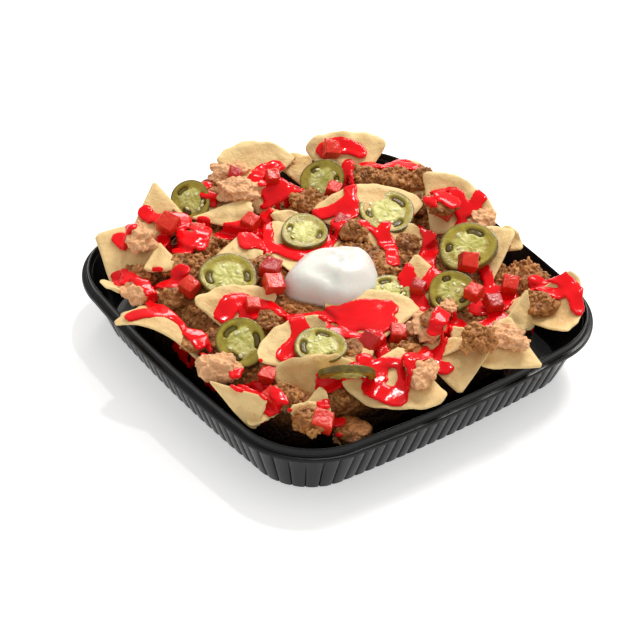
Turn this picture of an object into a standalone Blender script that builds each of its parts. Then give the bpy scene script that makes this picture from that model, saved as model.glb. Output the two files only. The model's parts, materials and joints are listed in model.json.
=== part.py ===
"""Loaded nachos in a square black takeaway tray.

The origin is the centre of the tray's flat underside, +Z is up, and X and Y run
along the tray's sides. Lengths are in metres; the layout rows below are in
millimetres and degrees, as a cook would place the pieces by hand.

The tray is one moulded piece. On it stand a heap of beef and broken chips, the
whole chips that stick out of the heap, and the toppings that lie on them. Each
piece is trimmed to clear the pieces that lie over it by a small gap.
"""

import math
import random

import bmesh
import bpy
from mathutils import Matrix, Vector, noise

MM = 0.001
GAP = 0.35 * MM
FLAT_ANGLE = math.radians(1.5)
SHARP_ANGLE = math.radians(35)

# Tray: a side is the distance between the two straight sides that it joins, before
# the bow that makes each side stand out in its middle.
TRAY_BASE_SIDE = 196.0 * MM
TRAY_BASE_CORNER = 31.0 * MM
TRAY_BASE_BOW = 2.4 * MM
TRAY_RIM_SIDE = 229.0 * MM
TRAY_RIM_BOW = 3.2 * MM
TRAY_LEDGE_HEIGHT = 31.0 * MM
TRAY_LEDGE_CORNER = 41.0 * MM
TRAY_CORNER_STEPS = 8
TRAY_SIDE_STEPS = 6
RIB_DEPTH = 1.5 * MM
RIB_ROUNDNESS = 0.6
RIBS_PER_SIDE = 20
RIBS_PER_CORNER = 7
POINTS_PER_RIB = 4

# Inside of the tray and its rim, from the floor over the lip to the skirt:
# (side, corner radius, height), all in mm.
TRAY_PROFILE = [
    (192.8, 29.5, 1.5),
    (195.4, 31.0, 2.8),
    (220.2, 42.5, 35.8),
    (221.4, 43.0, 36.6),
    (222.6, 43.6, 36.0),
    (223.5, 44.0, 32.8),
    (224.6, 44.6, 32.3),
    (228.2, 46.3, 32.3),
    (229.0, 46.7, 31.7),
    (229.4, 46.9, 30.2),
    (227.6, 46.0, 30.2),
    (227.2, 45.8, 31.0),
]
WALL_FOOT = TRAY_PROFILE[1]
WALL_HEAD = TRAY_PROFILE[2]

# Heap: a mound on the tray's floor with lumps where the beef is piled.
HEAP_FLOOR = 1.9 * MM
HEAP_SIDE = 189.0 * MM
HEAP_CORNER = 42.0 * MM
HEAP_FOOT = 0.925
HEAP_SHOULDER = 15.0 * MM
HEAP_EDGE_HEIGHT = 38.0 * MM
HEAP_EDGE_DROP = 16.0 * MM
HEAP_CROWN = 8.5 * MM
# Powers of the distance from the middle, 0 there and 1 at the outline: how the
# crown falls away, how the lumps die down and how sharply the edge drops.
HEAP_CROWN_FALL = 2.4
HEAP_LUMP_FALL = 8
HEAP_EDGE_FALL = 14
HEAP_LUMP_LOSS = 0.5
HEAP_WOBBLE = 3.0 * MM
HEAP_WOBBLE_SCALE = 22 * MM
HEAP_WOBBLE_LEVEL = 5 * MM
HEAP_ROUGHNESS = 1.5 * MM
HEAP_ROUGHNESS_SCALE = 9 * MM
HEAP_SEGMENTS = 40
HEAP_RINGS = [0.98, 0.92, 0.84, 0.74, 0.63, 0.51, 0.37, 0.2]
# Lumps: (x, y, height, spread) in mm.
HEAP_LUMPS = [
    (-84, 52, 8, 11),
    (-60, 38, 8, 12),
    (-82, 16, 8, 12),
    (-90, -18, 7, 12),
    (-74, -54, 7, 12),
    (-82, -82, 6, 11),
    (-56, -90, 7, 13),
    (-36, -52, 6, 12),
    (-6, -84, 6, 13),
    (28, -86, 6, 13),
    (56, -86, 9, 12),
    (80, -84, 8, 12),
    (86, -56, 12, 14),
    (66, -26, 6, 12),
    (84, 2, 8, 12),
    (88, 30, 7, 12),
    (80, 48, 10, 14),
    (46, 84, 7, 13),
    (26, 58, 7, 12),
    (-28, 86, 7, 13),
    (-60, 80, 4, 11),
    (-50, 64, 8, 11),
    (22, 6, 6, 12),
    (-28, 30, 6, 11),
    (40, -8, 6, 12),
]

# Chips are sectors of a small round tortilla, bent while frying.
CHIP_THICKNESS = 1.8 * MM
CHIP_ROWS = 5
CHIP_PIVOT = 0.62
CHIP_CORNER_CUT = 0.22
CHIP_RIPPLE_RATE = 4.5
CHIP_RIPPLE_START = 1.0
# Rows: name, place (x, y, z) in mm, then heading, tilt and bank in degrees, the
# radius in mm, the sweep, the curl across, the bend along, in degrees, and the
# ripple in mm. The topmost chips come first; each trims the ones after it.
CHIPS = [
    ("chip_left_shard", (-77, 58, 50), -118, -14, 2, 22, 60, 12, 0, 0.3),
    ("chip_right_fin", (60, -86, 47), -140, -48, -42, 23, 55, 12, 20, 0.3),
    ("chip_front_flap", (12, -88, 48), 4, 20, -22, 16, 60, 20, 0, 0.4),
    ("chip_middle_left", (-33, 42, 49), -22, 6, 7, 27, 78, -25, 0, 0.5),
    ("chip_upper_left", (-22, 73, 50), -36, 8, 20, 36, 40, 10, 10, 0.4),
    ("chip_middle_right", (29, -38, 49), -116, -30, 0, 32, 80, -30, 0, 0.6),
    ("chip_right_fold", (80, -35, 50), 50, 21, -12, 42, 44, 25, 0, 0.5),
    ("chip_centre_left", (-65, 3, 47), 69, 23, 4, 38, 82, 35, 0, 0.8),
    ("chip_centre_curl", (-61, -41, 50), 98, 26, -6, 32, 102, 35, 0, 0.5),
    ("chip_centre_wave", (-64, -68, 41), 64, 54, 0, 44, 66, -15, 10, 2.0),
    ("chip_front_broad", (-31, -92, 42), -134, -15, -3, 42, 92, 20, 10, 0.8),
    ("chip_left_overhang", (-106, 17, 48), 105, -1, 8, 59, 30, -10, -80, 0.6),
    ("chip_centre_sauced", (-8, -42, 48), 52, 7, -2, 45, 76, -12, 0, 0.8),
    ("chip_upper_right", (45, 2, 48), 54, 18, 0, 32, 86, 20, 0, 0.8),
    ("chip_upper_ledge", (10, 83, 50), 40, 28, 7, 27, 92, 20, 0, 0.4),
    ("chip_under_pepper", (-5, 30, 47), 164, 2, -2, 45, 74, 15, 0, 0.8),
    ("chip_back_shell", (45, 30, 53), 64, 17, -2, 49, 90, -20, 0, 1.0),
    ("chip_upper_sliver", (-17, 87, 46), 160, 8, -18, 27, 50, 15, 0, 0.3),
    ("chip_front_left_hood", (-105, -58, 42), -74, -6, 60, 38, 30, 20, -16, 0.8),
    ("chip_front_cup", (-81, -86, 41), 58, 38, 0, 20, 72, 35, 0, 0.4),
    ("chip_front_right_tip", (36, -102, 44), 123, 18, -10, 36, 70, 10, 12, 0.6),
    ("chip_front_fold", (9, -94, 43), 56, 14, -10, 37, 74, 50, 0, 1.5),
    ("chip_right_bowl", (78, -89, 45), -50, 14, 14, 48, 60, 60, 20, 0.4),
    ("chip_back_right", (88, 4, 56), 9, 28, 14, 39, 92, 25, 8, 0.6),
    ("chip_back_wave", (78, 44, 46), 56, 8, 4, 34, 76, 30, 0, 0.8),
    ("chip_back_peak", (66, 79, 55), 60, 34, -5, 43, 75, 18, 8, 0.8),
    ("chip_back_left", (16, 101, 58), 62, 34, 4, 32, 100, 20, 8, 0.8),
    ("chip_left_peak", (-55, 93, 51), -113, -31, 0, 36, 62, -20, 0, 0.6),
    ("chip_left_corner", (-80, 81, 45), -66, 0, 19, 44, 86, -12, -8, 0.8),
]

# Pickled pepper slices: name, centre (x, y, z), the way the face leans, how far
# it leans, radius and thickness.
PEPPERS = [
    ("pepper_left_back", (-32, 96, 51), -128, 44, 11.5, 4.0),
    ("pepper_back", (40, 68, 53), -140, 42, 13.0, 4.0),
    ("pepper_back_right", (52, 23, 53), -120, 9, 16.5, 4.0),
    ("pepper_middle", (3, 35, 51), -110, 9, 13.5, 3.8),
    ("pepper_right", (68, -30, 54), -150, 24, 16.0, 4.2),
    ("pepper_left", (-56, 24, 51), -120, 18, 15.5, 4.0),
    ("pepper_front_left", (-81, -24, 48), -125, 36, 13.5, 4.4),
    ("pepper_front_right", (37, -54, 51), -135, 32, 12.5, 4.2),
    ("pepper_by_cream", (10, -33, 48), -100, 8, 13.0, 3.8),
    ("pepper_front", (-51, -53, 51), -120, 9, 13.5, 3.8),
    ("pepper_edge_on", (-51, -77, 49), 56, 52, 14.5, 3.8),
]
PEPPER_SEGMENTS = 12
# Half of the slice's section, as shares of its radius and of half its thickness,
# from the dished core over the rim to the underside.
PEPPER_CORE = 0.45
PEPPER_PROFILE = [(0.62, 0.55), (0.93, 1.0), (1.0, 0.0), (0.93, -1.0)]
PEPPER_TWO_LOBES = 0.04
PEPPER_THREE_LOBES = 0.03

# Soured cream: a spooned dollop with a tail.
CREAM_PLACE = (-4, -5, 46)
CREAM_RADIUS = 24.5 * MM
CREAM_HEIGHT = 16.5 * MM
CREAM_TAIL = 6.0 * MM
CREAM_TAIL_HEADING = 172
CREAM_TAIL_POWER = 8
CREAM_THREE_WAVES = 0.05
CREAM_THREE_WAVES_START = 0.6
CREAM_FIVE_WAVES = 0.03
# The dome's height is (1 - outward ** DOME_EDGE) ** DOME_TOP of the full height.
CREAM_DOME_EDGE = 2.6
CREAM_DOME_TOP = 0.55
CREAM_FOLD = 3.6 * MM
CREAM_FOLD_TWIST = 9
CREAM_SEGMENTS = 24
CREAM_RINGS = 7

# Spoonfuls of mashed beans: name, centre (x, y, z), length, width and height in
# mm, and the heading of the length.
BEANS = [
    ("beans_upper_left", (-7, 83, 56), 27, 18, 12, -40),
    ("beans_back_left", (-1, 103, 54), 24, 16, 12, -30),
    ("beans_left", (-78, 77, 54), 20, 16, 12, 60),
    ("beans_left_low", (-98, 48, 42), 23, 15, 12, 110),
    ("beans_front_left", (-99, -30, 43), 25, 17, 13, 130),
    ("beans_middle_right", (8, -70, 51), 26, 19, 12, 30),
    ("beans_front", (-17, -96, 49), 22, 17, 12, 40),
    ("beans_front_right", (38, -100, 50), 25, 15, 11, -60),
]
BEAN_LUMPS = 0.45
BEAN_LUMP_RATE = 3.4
BEAN_SEED_STEP = 3.7

# Tomato dice that lie clear of the rest: name, centre (x, y, z), heading, lean
# and edge length.
TOMATOES = [
    ("tomato_left_peak", (-60, 77, 57), 20, 24, 10.5),
    ("tomato_cream_upper", (-34, 15, 54), 35, 12, 10.0),
    ("tomato_cream_lower", (-41, 3, 53), 70, 18, 10.5),
    ("tomato_left", (-77, 30, 50), 10, 20, 9.5),
    ("tomato_right", (57, -43, 57), 50, 30, 9.5),
    ("tomato_back_right", (79, 4, 57), 15, 26, 10.5),
    ("tomato_front", (-79, -94, 42), 40, 15, 10.5),
    ("tomato_back", (58, 84, 60), 60, 28, 9.5),
]
TOMATO_SEED = 100
TOMATO_UNEVENNESS = (0.86, 1.08)
TOMATO_FLATNESS = 0.82
TOMATO_EDGE = 0.9 * MM

COLOURS = {
    "tray_black": ((0.012, 0.012, 0.013), 0.3),
    "chip_corn": ((0.80, 0.56, 0.26), 0.7),
    "beef_brown": ((0.27, 0.12, 0.045), 0.75),
    "beans_tan": ((0.50, 0.26, 0.17), 0.7),
    "pepper_green": ((0.36, 0.34, 0.06), 0.3),
    "tomato_red": ((0.62, 0.04, 0.02), 0.25),
    "cream_white": ((0.84, 0.82, 0.77), 0.35),
}


def clear_scene():
    for obj in list(bpy.data.objects):
        bpy.data.objects.remove(obj, do_unlink=True)


def make_collection(name):
    collection = bpy.data.collections.new(name)
    bpy.context.scene.collection.children.link(collection)
    return collection


def make_material(name):
    colour, roughness = COLOURS[name]
    material = bpy.data.materials.new(name)
    material.use_nodes = True
    shader = material.node_tree.nodes["Principled BSDF"]
    shader.inputs["Base Color"].default_value = (*colour, 1.0)
    shader.inputs["Roughness"].default_value = roughness
    shader.inputs["Metallic"].default_value = 0.0
    return material


def add_object(name, mesh, collection, material, smooth=True):
    obj = bpy.data.objects.new(name, mesh)
    collection.objects.link(obj)
    mesh.materials.append(material)
    if smooth:
        mesh.shade_smooth()
        mesh.set_sharp_from_angle(angle=SHARP_ANGLE)
    return obj


def finish_bmesh(bm, name):
    bmesh.ops.recalc_face_normals(bm, faces=bm.faces)
    mesh = bpy.data.meshes.new(name)
    bm.to_mesh(mesh)
    bm.free()
    return mesh


# Tray -----------------------------------------------------------------------


def rounded_square(side, corner, bow, corner_steps, side_steps):
    """Points and outward normals round a square with round corners and bowed sides."""
    centre = side / 2 - corner
    points = []
    for quarter in range(4):
        turn = Matrix.Rotation(quarter * math.pi / 2, 2)
        for step in range(corner_steps):
            angle = (step / corner_steps) * math.pi / 2
            spoke = Vector((math.cos(angle), math.sin(angle)))
            points.append(turn @ (Vector((centre, centre)) + spoke * corner))
        for step in range(side_steps):
            along = 1 - 2 * step / side_steps
            off = side / 2 + bow * (1 - along * along)
            points.append(turn @ Vector((along * centre, off)))
    normals = []
    for index, point in enumerate(points):
        ahead = points[(index + 1) % len(points)]
        behind = points[index - 1]
        tangent = ahead - behind
        normals.append(Vector((tangent.y, -tangent.x)).normalized())
    return points, normals


def add_loop(bm, points, height):
    return [bm.verts.new((point.x, point.y, height)) for point in points]


def join_loops(bm, lower, upper):
    for index in range(len(lower)):
        after = (index + 1) % len(lower)
        bm.faces.new((lower[index], lower[after], upper[after], upper[index]))


def loop_edges(bm, loop):
    return [bm.edges.get((loop[i - 1], loop[i])) for i in range(len(loop))]


def ribbed_outline(side, corner, bow):
    """The tray's outer wall at one height: round flutes standing out of the wall."""
    points, normals = rounded_square(
        side, corner, bow,
        RIBS_PER_CORNER * POINTS_PER_RIB, RIBS_PER_SIDE * POINTS_PER_RIB,
    )
    outline = []
    for index, (point, normal) in enumerate(zip(points, normals)):
        phase = math.pi * (index % POINTS_PER_RIB) / POINTS_PER_RIB
        outline.append(point + normal * RIB_DEPTH * math.sin(phase) ** RIB_ROUNDNESS)
    return outline


def make_tray():
    bm = bmesh.new()
    loops = []
    for side, corner, height in TRAY_PROFILE:
        flare = (side * MM - TRAY_BASE_SIDE) / (TRAY_RIM_SIDE - TRAY_BASE_SIDE)
        bow = TRAY_BASE_BOW + (TRAY_RIM_BOW - TRAY_BASE_BOW) * flare
        points, _ = rounded_square(side * MM, corner * MM, bow, TRAY_CORNER_STEPS, TRAY_SIDE_STEPS)
        loops.append(add_loop(bm, points, height * MM))
    for lower, upper in zip(loops, loops[1:]):
        join_loops(bm, lower, upper)
    bm.faces.new(loops[0])

    draft = (WALL_HEAD[0] - WALL_FOOT[0]) / (WALL_HEAD[2] - WALL_FOOT[2])
    ledge_side = TRAY_BASE_SIDE + draft * TRAY_LEDGE_HEIGHT
    base = add_loop(bm, ribbed_outline(TRAY_BASE_SIDE, TRAY_BASE_CORNER, TRAY_BASE_BOW), 0.0)
    ledge = ribbed_outline(ledge_side, TRAY_LEDGE_CORNER, TRAY_RIM_BOW)
    top = add_loop(bm, ledge, TRAY_LEDGE_HEIGHT)
    join_loops(bm, base, top)
    bm.edges.index_update()
    bmesh.ops.triangle_fill(bm, edges=loop_edges(bm, base), use_beauty=True)
    bmesh.ops.triangle_fill(bm, edges=loop_edges(bm, top) + loop_edges(bm, loops[-1]), use_beauty=True)
    return finish_bmesh(bm, "tray")


# Heap -----------------------------------------------------------------------


def heap_height(x, y, edge):
    """Height of the heap; edge runs from 0 in the middle to 1 at the outline."""
    height = HEAP_EDGE_HEIGHT + HEAP_CROWN * (1 - edge ** HEAP_CROWN_FALL)
    lump_share = 1 - HEAP_LUMP_LOSS * edge ** HEAP_LUMP_FALL
    for lump_x, lump_y, lump, spread in HEAP_LUMPS:
        away = math.hypot(x - lump_x * MM, y - lump_y * MM) / (spread * MM)
        height += lump * MM * math.exp(-away * away) * lump_share
    height += HEAP_ROUGHNESS * noise.noise(Vector((x, y, 0.0)) / HEAP_ROUGHNESS_SCALE)
    return height - HEAP_EDGE_DROP * edge ** HEAP_EDGE_FALL


def make_heap():
    bm = bmesh.new()
    steps = HEAP_SEGMENTS // 4
    outline, normals = rounded_square(HEAP_SIDE, HEAP_CORNER, TRAY_BASE_BOW, steps // 2, steps - steps // 2)
    for index, normal in enumerate(normals):
        spot = Vector((*outline[index], HEAP_WOBBLE_LEVEL)) / HEAP_WOBBLE_SCALE
        outline[index] += normal * HEAP_WOBBLE * noise.noise(spot)
    foot = [point * HEAP_FOOT for point in outline]
    loops = [add_loop(bm, foot, HEAP_FLOOR), add_loop(bm, outline, HEAP_SHOULDER)]
    for scale in HEAP_RINGS:
        loop = []
        for point in outline:
            x, y = point.x * scale, point.y * scale
            loop.append(bm.verts.new((x, y, heap_height(x, y, scale))))
        loops.append(loop)
    for lower, upper in zip(loops, loops[1:]):
        join_loops(bm, lower, upper)
    crown = bm.verts.new((0.0, 0.0, heap_height(0.0, 0.0, 0.0)))
    last = loops[-1]
    for index in range(len(last)):
        bm.faces.new((last[index - 1], last[index], crown))
    bm.faces.new(loops[0])
    bmesh.ops.triangulate(bm, faces=bm.faces)
    return finish_bmesh(bm, "heap")


# Chips ----------------------------------------------------------------------


def bend_about(position, height, degrees, length):
    """Roll a flat strip of the given length into an arc of the given angle."""
    rate = math.radians(degrees) / length
    if abs(rate) < 1e-6:
        return position, height
    arm = 1 / rate - height
    return arm * math.sin(rate * position), 1 / rate - arm * math.cos(rate * position)


def chip_point(across, along, radius, sweep, curl, bend, ripple):
    """A point of the bent sector: along runs 0 to 1 from tip to arc, across -1 to 1."""
    half = math.radians(sweep) / 2
    x = radius * (along * math.cos(half * across) - CHIP_PIVOT)
    y = radius * along * math.sin(half * across)
    z = ripple * math.sin(CHIP_RIPPLE_RATE * across + CHIP_RIPPLE_START) * along
    width = 2 * radius * math.sin(half)
    y, z = bend_about(y, z, curl, width)
    x, z = bend_about(x, z, bend, radius)
    return Vector((x, y, z))


def make_chip_sheet(name, radius, sweep, curl, bend, ripple):
    bm = bmesh.new()
    rows = []
    for row in range(CHIP_ROWS + 1):
        along = row / CHIP_ROWS
        points = []
        for column in range(row + 1):
            across = 2 * column / row - 1 if row else 0.0
            is_corner = row == CHIP_ROWS and abs(across) == 1
            reach = along - (CHIP_CORNER_CUT / CHIP_ROWS if is_corner else 0.0)
            reach = max(reach, CHIP_CORNER_CUT / CHIP_ROWS)
            point = chip_point(across, reach, radius * MM, sweep, curl, bend, ripple * MM)
            points.append(bm.verts.new(point))
        rows.append(points)
    for shorter, longer in zip(rows, rows[1:]):
        for column in range(len(shorter)):
            bm.faces.new((shorter[column], longer[column], longer[column + 1]))
            if column:
                bm.faces.new((shorter[column - 1], longer[column], shorter[column]))
    return finish_bmesh(bm, name)


def place_matrix(place, heading, tilt, bank):
    """Heading turns about Z, tilt lifts the local X end, bank rolls about local X."""
    location = Matrix.Translation(Vector(place) * MM)
    turn = Matrix.Rotation(math.radians(heading), 4, "Z")
    lift = Matrix.Rotation(-math.radians(tilt), 4, "Y")
    roll = Matrix.Rotation(math.radians(bank), 4, "X")
    return location @ turn @ lift @ roll


def add_chip(row, collection, material):
    name, place, heading, tilt, bank, radius, sweep, curl, bend, ripple = row
    chip = add_object(name, make_chip_sheet(name, radius, sweep, curl, bend, ripple), collection, material)
    chip.matrix_world = place_matrix(place, heading, tilt, bank)
    solidify = chip.modifiers.new("thickness", "SOLIDIFY")
    solidify.thickness = CHIP_THICKNESS
    solidify.offset = 0.0
    return chip


# Toppings -------------------------------------------------------------------


def make_pepper_slice(name, radius, thickness, seed):
    """A thick wheel with a slightly lobed outline and dished faces."""
    radius *= MM
    half = thickness * MM / 2
    rng = random.Random(seed)
    phase_two = rng.uniform(0, math.tau)
    phase_three = rng.uniform(0, math.tau)
    bm = bmesh.new()
    loops = []
    for reach, height in PEPPER_PROFILE:
        loop = []
        for step in range(PEPPER_SEGMENTS):
            angle = math.tau * step / PEPPER_SEGMENTS
            lobes = 1 + PEPPER_TWO_LOBES * math.cos(2 * angle + phase_two)
            lobes += PEPPER_THREE_LOBES * math.cos(3 * angle + phase_three)
            out = radius * reach * lobes
            loop.append(bm.verts.new((out * math.cos(angle), out * math.sin(angle), half * height)))
        loops.append(loop)
    for lower, upper in zip(loops, loops[1:]):
        join_loops(bm, lower, upper)
    middle = bm.verts.new((0.0, 0.0, half * PEPPER_CORE))
    for index in range(PEPPER_SEGMENTS):
        bm.faces.new((loops[0][index - 1], loops[0][index], middle))
    bm.faces.new(loops[-1])
    return finish_bmesh(bm, name)


def add_pepper(row, seed, collection, material):
    name, place, facing, lean, radius, thickness = row
    pepper = add_object(name, make_pepper_slice(name, radius, thickness, seed), collection, material)
    pepper.matrix_world = place_matrix(place, facing, -lean, 0)
    return pepper


def make_cream():
    bm = bmesh.new()
    tail_heading = math.radians(CREAM_TAIL_HEADING)
    loops = []
    for ring in range(CREAM_RINGS):
        inward = ring / CREAM_RINGS
        loop = []
        for step in range(CREAM_SEGMENTS):
            angle = math.tau * step / CREAM_SEGMENTS
            wave = 1 + CREAM_THREE_WAVES * math.sin(3 * angle + CREAM_THREE_WAVES_START)
            wave += CREAM_FIVE_WAVES * math.sin(5 * angle)
            tail = CREAM_TAIL * max(0.0, math.cos(angle - tail_heading)) ** CREAM_TAIL_POWER
            out = (CREAM_RADIUS * wave + tail) * (1 - inward)
            height = CREAM_HEIGHT * (1 - (1 - inward) ** CREAM_DOME_EDGE) ** CREAM_DOME_TOP
            fold = CREAM_FOLD * math.sin(2 * angle + CREAM_FOLD_TWIST * inward) * inward * (1 - inward)
            loop.append(bm.verts.new((out * math.cos(angle), out * math.sin(angle), height + fold)))
        loops.append(loop)
    for lower, upper in zip(loops, loops[1:]):
        join_loops(bm, lower, upper)
    peak = bm.verts.new((0.0, 0.0, CREAM_HEIGHT))
    for index in range(CREAM_SEGMENTS):
        bm.faces.new((loops[-1][index - 1], loops[-1][index], peak))
    bm.faces.new(loops[0])
    return finish_bmesh(bm, "sour_cream")


def add_beans(row, seed, collection, material):
    """A lumpy spoonful: a ball of a few dozen faces pushed in and out by noise."""
    name, place, length, width, height, heading = row
    bm = bmesh.new()
    bmesh.ops.create_icosphere(bm, subdivisions=2, radius=0.5)
    shift = Vector((seed * BEAN_SEED_STEP, 0.0, 1.3))
    for vert in bm.verts:
        lump = 1 + BEAN_LUMPS * noise.noise(vert.co * BEAN_LUMP_RATE + shift)
        vert.co *= lump
        vert.co.x *= length * MM
        vert.co.y *= width * MM
        vert.co.z *= height * MM
    clump = add_object(name, finish_bmesh(bm, name), collection, material)
    clump.matrix_world = place_matrix(place, heading, 0, 0)
    return clump


def add_tomato(row, seed, collection, material):
    """A knife-cut dice: a box with uneven corners and softened edges."""
    name, place, heading, lean, edge = row
    rng = random.Random(TOMATO_SEED + seed)
    bm = bmesh.new()
    bmesh.ops.create_cube(bm, size=edge * MM)
    for vert in bm.verts:
        vert.co *= rng.uniform(*TOMATO_UNEVENNESS)
        vert.co.z *= TOMATO_FLATNESS
    dice = add_object(name, finish_bmesh(bm, name), collection, material)
    dice.matrix_world = place_matrix(place, heading, lean, lean / 2)
    bevel = dice.modifiers.new("soft_edges", "BEVEL")
    bevel.width = TOMATO_EDGE
    bevel.segments = 1
    return dice


# Trimming -------------------------------------------------------------------


def evaluated_mesh(obj):
    depsgraph = bpy.context.evaluated_depsgraph_get()
    mesh = bpy.data.meshes.new_from_object(obj.evaluated_get(depsgraph))
    mesh.transform(obj.matrix_world)
    return mesh


def bounds_of(mesh):
    corners = [vert.co for vert in mesh.vertices]
    low = Vector([min(corner[axis] for corner in corners) for axis in range(3)])
    high = Vector([max(corner[axis] for corner in corners) for axis in range(3)])
    return low, high


def boxes_touch(first, second):
    return all(first[0][k] < second[1][k] + GAP and second[0][k] < first[1][k] + GAP for k in range(3))


def add_cutter(name, mesh, collection):
    """A copy of a piece, fattened by the gap, that trims what lies under it."""
    bm = bmesh.new()
    bm.from_mesh(mesh)
    bm.normal_update()
    shifts = [vert.normal * GAP * vert.calc_shell_factor() for vert in bm.verts]
    for vert, shift in zip(bm.verts, shifts):
        vert.co += shift
    fat = bpy.data.meshes.new(name + "_cutter")
    bm.to_mesh(fat)
    bm.free()
    cutter = bpy.data.objects.new(name + "_cutter", fat)
    collection.objects.link(cutter)
    cutter.hide_render = True
    cutter.display_type = "WIRE"
    return cutter


def keep_largest_body(mesh):
    """Drop the small crumbs that trimming cuts loose."""
    bm = bmesh.new()
    bm.from_mesh(mesh)
    unseen = set(bm.verts)
    bodies = []
    while unseen:
        stack = [unseen.pop()]
        body = list(stack)
        while stack:
            vert = stack.pop()
            for edge in vert.link_edges:
                other = edge.other_vert(vert)
                if other in unseen:
                    unseen.remove(other)
                    stack.append(other)
                    body.append(other)
        bodies.append(body)
    bodies.sort(key=body_size, reverse=True)
    crumbs = [vert for body in bodies[1:] for vert in body]
    bmesh.ops.delete(bm, geom=crumbs, context="VERTS")
    bmesh.ops.dissolve_limit(bm, angle_limit=FLAT_ANGLE, verts=bm.verts, edges=bm.edges)
    bmesh.ops.triangulate(bm, faces=bm.faces)
    bm.to_mesh(mesh)
    bm.free()


def body_size(body):
    spans = []
    for axis in range(3):
        values = [vert.co[axis] for vert in body]
        spans.append(max(values) - min(values))
    return sum(spans)


def trim(obj, above, name_bounds):
    """Cut every piece that lies over this one out of it, and bake the result."""
    own = bounds_of(evaluated_mesh(obj))
    for cutter in above:
        if not boxes_touch(own, name_bounds[cutter.name]):
            continue
        cut = obj.modifiers.new(cutter.name, "BOOLEAN")
        cut.operation = "DIFFERENCE"
        cut.solver = "EXACT"
        cut.object = cutter
    baked = evaluated_mesh(obj)
    keep_largest_body(baked)
    obj.modifiers.clear()
    obj.matrix_world = Matrix.Identity(4)
    obj.data = baked


def main():
    clear_scene()
    parts = make_collection("loaded_nachos")
    cutters = make_collection("cutters")
    materials = {name: make_material(name) for name in COLOURS}

    tray = add_object("tray", make_tray(), parts, materials["tray_black"])
    cream = add_object("sour_cream", make_cream(), parts, materials["cream_white"])
    cream.location = Vector(CREAM_PLACE) * MM

    pieces = [cream]
    for seed, row in enumerate(TOMATOES):
        pieces.append(add_tomato(row, seed, parts, materials["tomato_red"]))
    for seed, row in enumerate(PEPPERS):
        pieces.append(add_pepper(row, seed, parts, materials["pepper_green"]))
    for seed, row in enumerate(BEANS):
        pieces.append(add_beans(row, seed, parts, materials["beans_tan"]))
    for row in CHIPS:
        pieces.append(add_chip(row, parts, materials["chip_corn"]))
    pieces.append(add_object("heap", make_heap(), parts, materials["beef_brown"]))
    bpy.context.view_layer.update()

    above = [add_cutter("tray", evaluated_mesh(tray), cutters)]
    cutter_bounds = {above[0].name: bounds_of(above[0].data)}
    for piece in pieces:
        cutter = add_cutter(piece.name, evaluated_mesh(piece), cutters)
        cutter_bounds[cutter.name] = bounds_of(cutter.data)
        trim(piece, above, cutter_bounds)
        above.append(cutter)


main()
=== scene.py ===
"""Loaded nachos in a square black takeaway tray.

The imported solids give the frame. Each solid is replaced by the real thing at the
same place: a moulded tray with ribs, bent corn chips, crumbled beef, mashed beans,
pickled pepper slices, tomato dice, soured cream and red sauce. Layout rows are in
millimetres and degrees, everything else is in metres.
"""

import json
import math
import random

import bmesh
import bpy
from mathutils import Matrix, Vector, noise
from mathutils.bvhtree import BVHTree

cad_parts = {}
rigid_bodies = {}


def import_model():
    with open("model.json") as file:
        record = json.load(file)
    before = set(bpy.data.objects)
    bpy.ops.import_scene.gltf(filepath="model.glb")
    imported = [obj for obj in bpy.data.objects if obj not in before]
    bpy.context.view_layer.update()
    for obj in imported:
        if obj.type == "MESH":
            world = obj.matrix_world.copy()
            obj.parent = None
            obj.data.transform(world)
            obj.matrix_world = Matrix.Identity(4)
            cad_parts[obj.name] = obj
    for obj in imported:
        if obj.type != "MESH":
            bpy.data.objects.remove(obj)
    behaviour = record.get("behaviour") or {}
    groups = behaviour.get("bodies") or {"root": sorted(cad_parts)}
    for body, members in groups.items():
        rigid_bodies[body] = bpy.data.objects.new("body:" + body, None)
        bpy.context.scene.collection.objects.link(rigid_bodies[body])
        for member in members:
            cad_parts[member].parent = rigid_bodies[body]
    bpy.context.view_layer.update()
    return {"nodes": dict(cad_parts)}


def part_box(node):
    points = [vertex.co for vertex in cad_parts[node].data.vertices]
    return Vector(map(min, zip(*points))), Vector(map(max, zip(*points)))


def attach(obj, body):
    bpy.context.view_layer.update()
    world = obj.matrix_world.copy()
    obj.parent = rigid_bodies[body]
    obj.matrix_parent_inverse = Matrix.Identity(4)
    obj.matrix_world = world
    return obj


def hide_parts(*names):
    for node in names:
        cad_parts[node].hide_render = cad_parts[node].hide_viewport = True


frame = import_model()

bl_info = {
    "name": "Loaded nachos in a tray",
    "version": (1, 0, 0),
    "blender": (4, 5, 0),
    "location": "3D View > Sidebar > Nachos",
    "description": "Dresses a tray of loaded nachos: tray, chips, toppings, sauce and stage",
    "category": "Add Mesh",
}

MM = 0.001
TRAY_LOW, TRAY_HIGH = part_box("tray")
CREAM_LOW, CREAM_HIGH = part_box("sour_cream")
BODY = "root"

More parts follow.
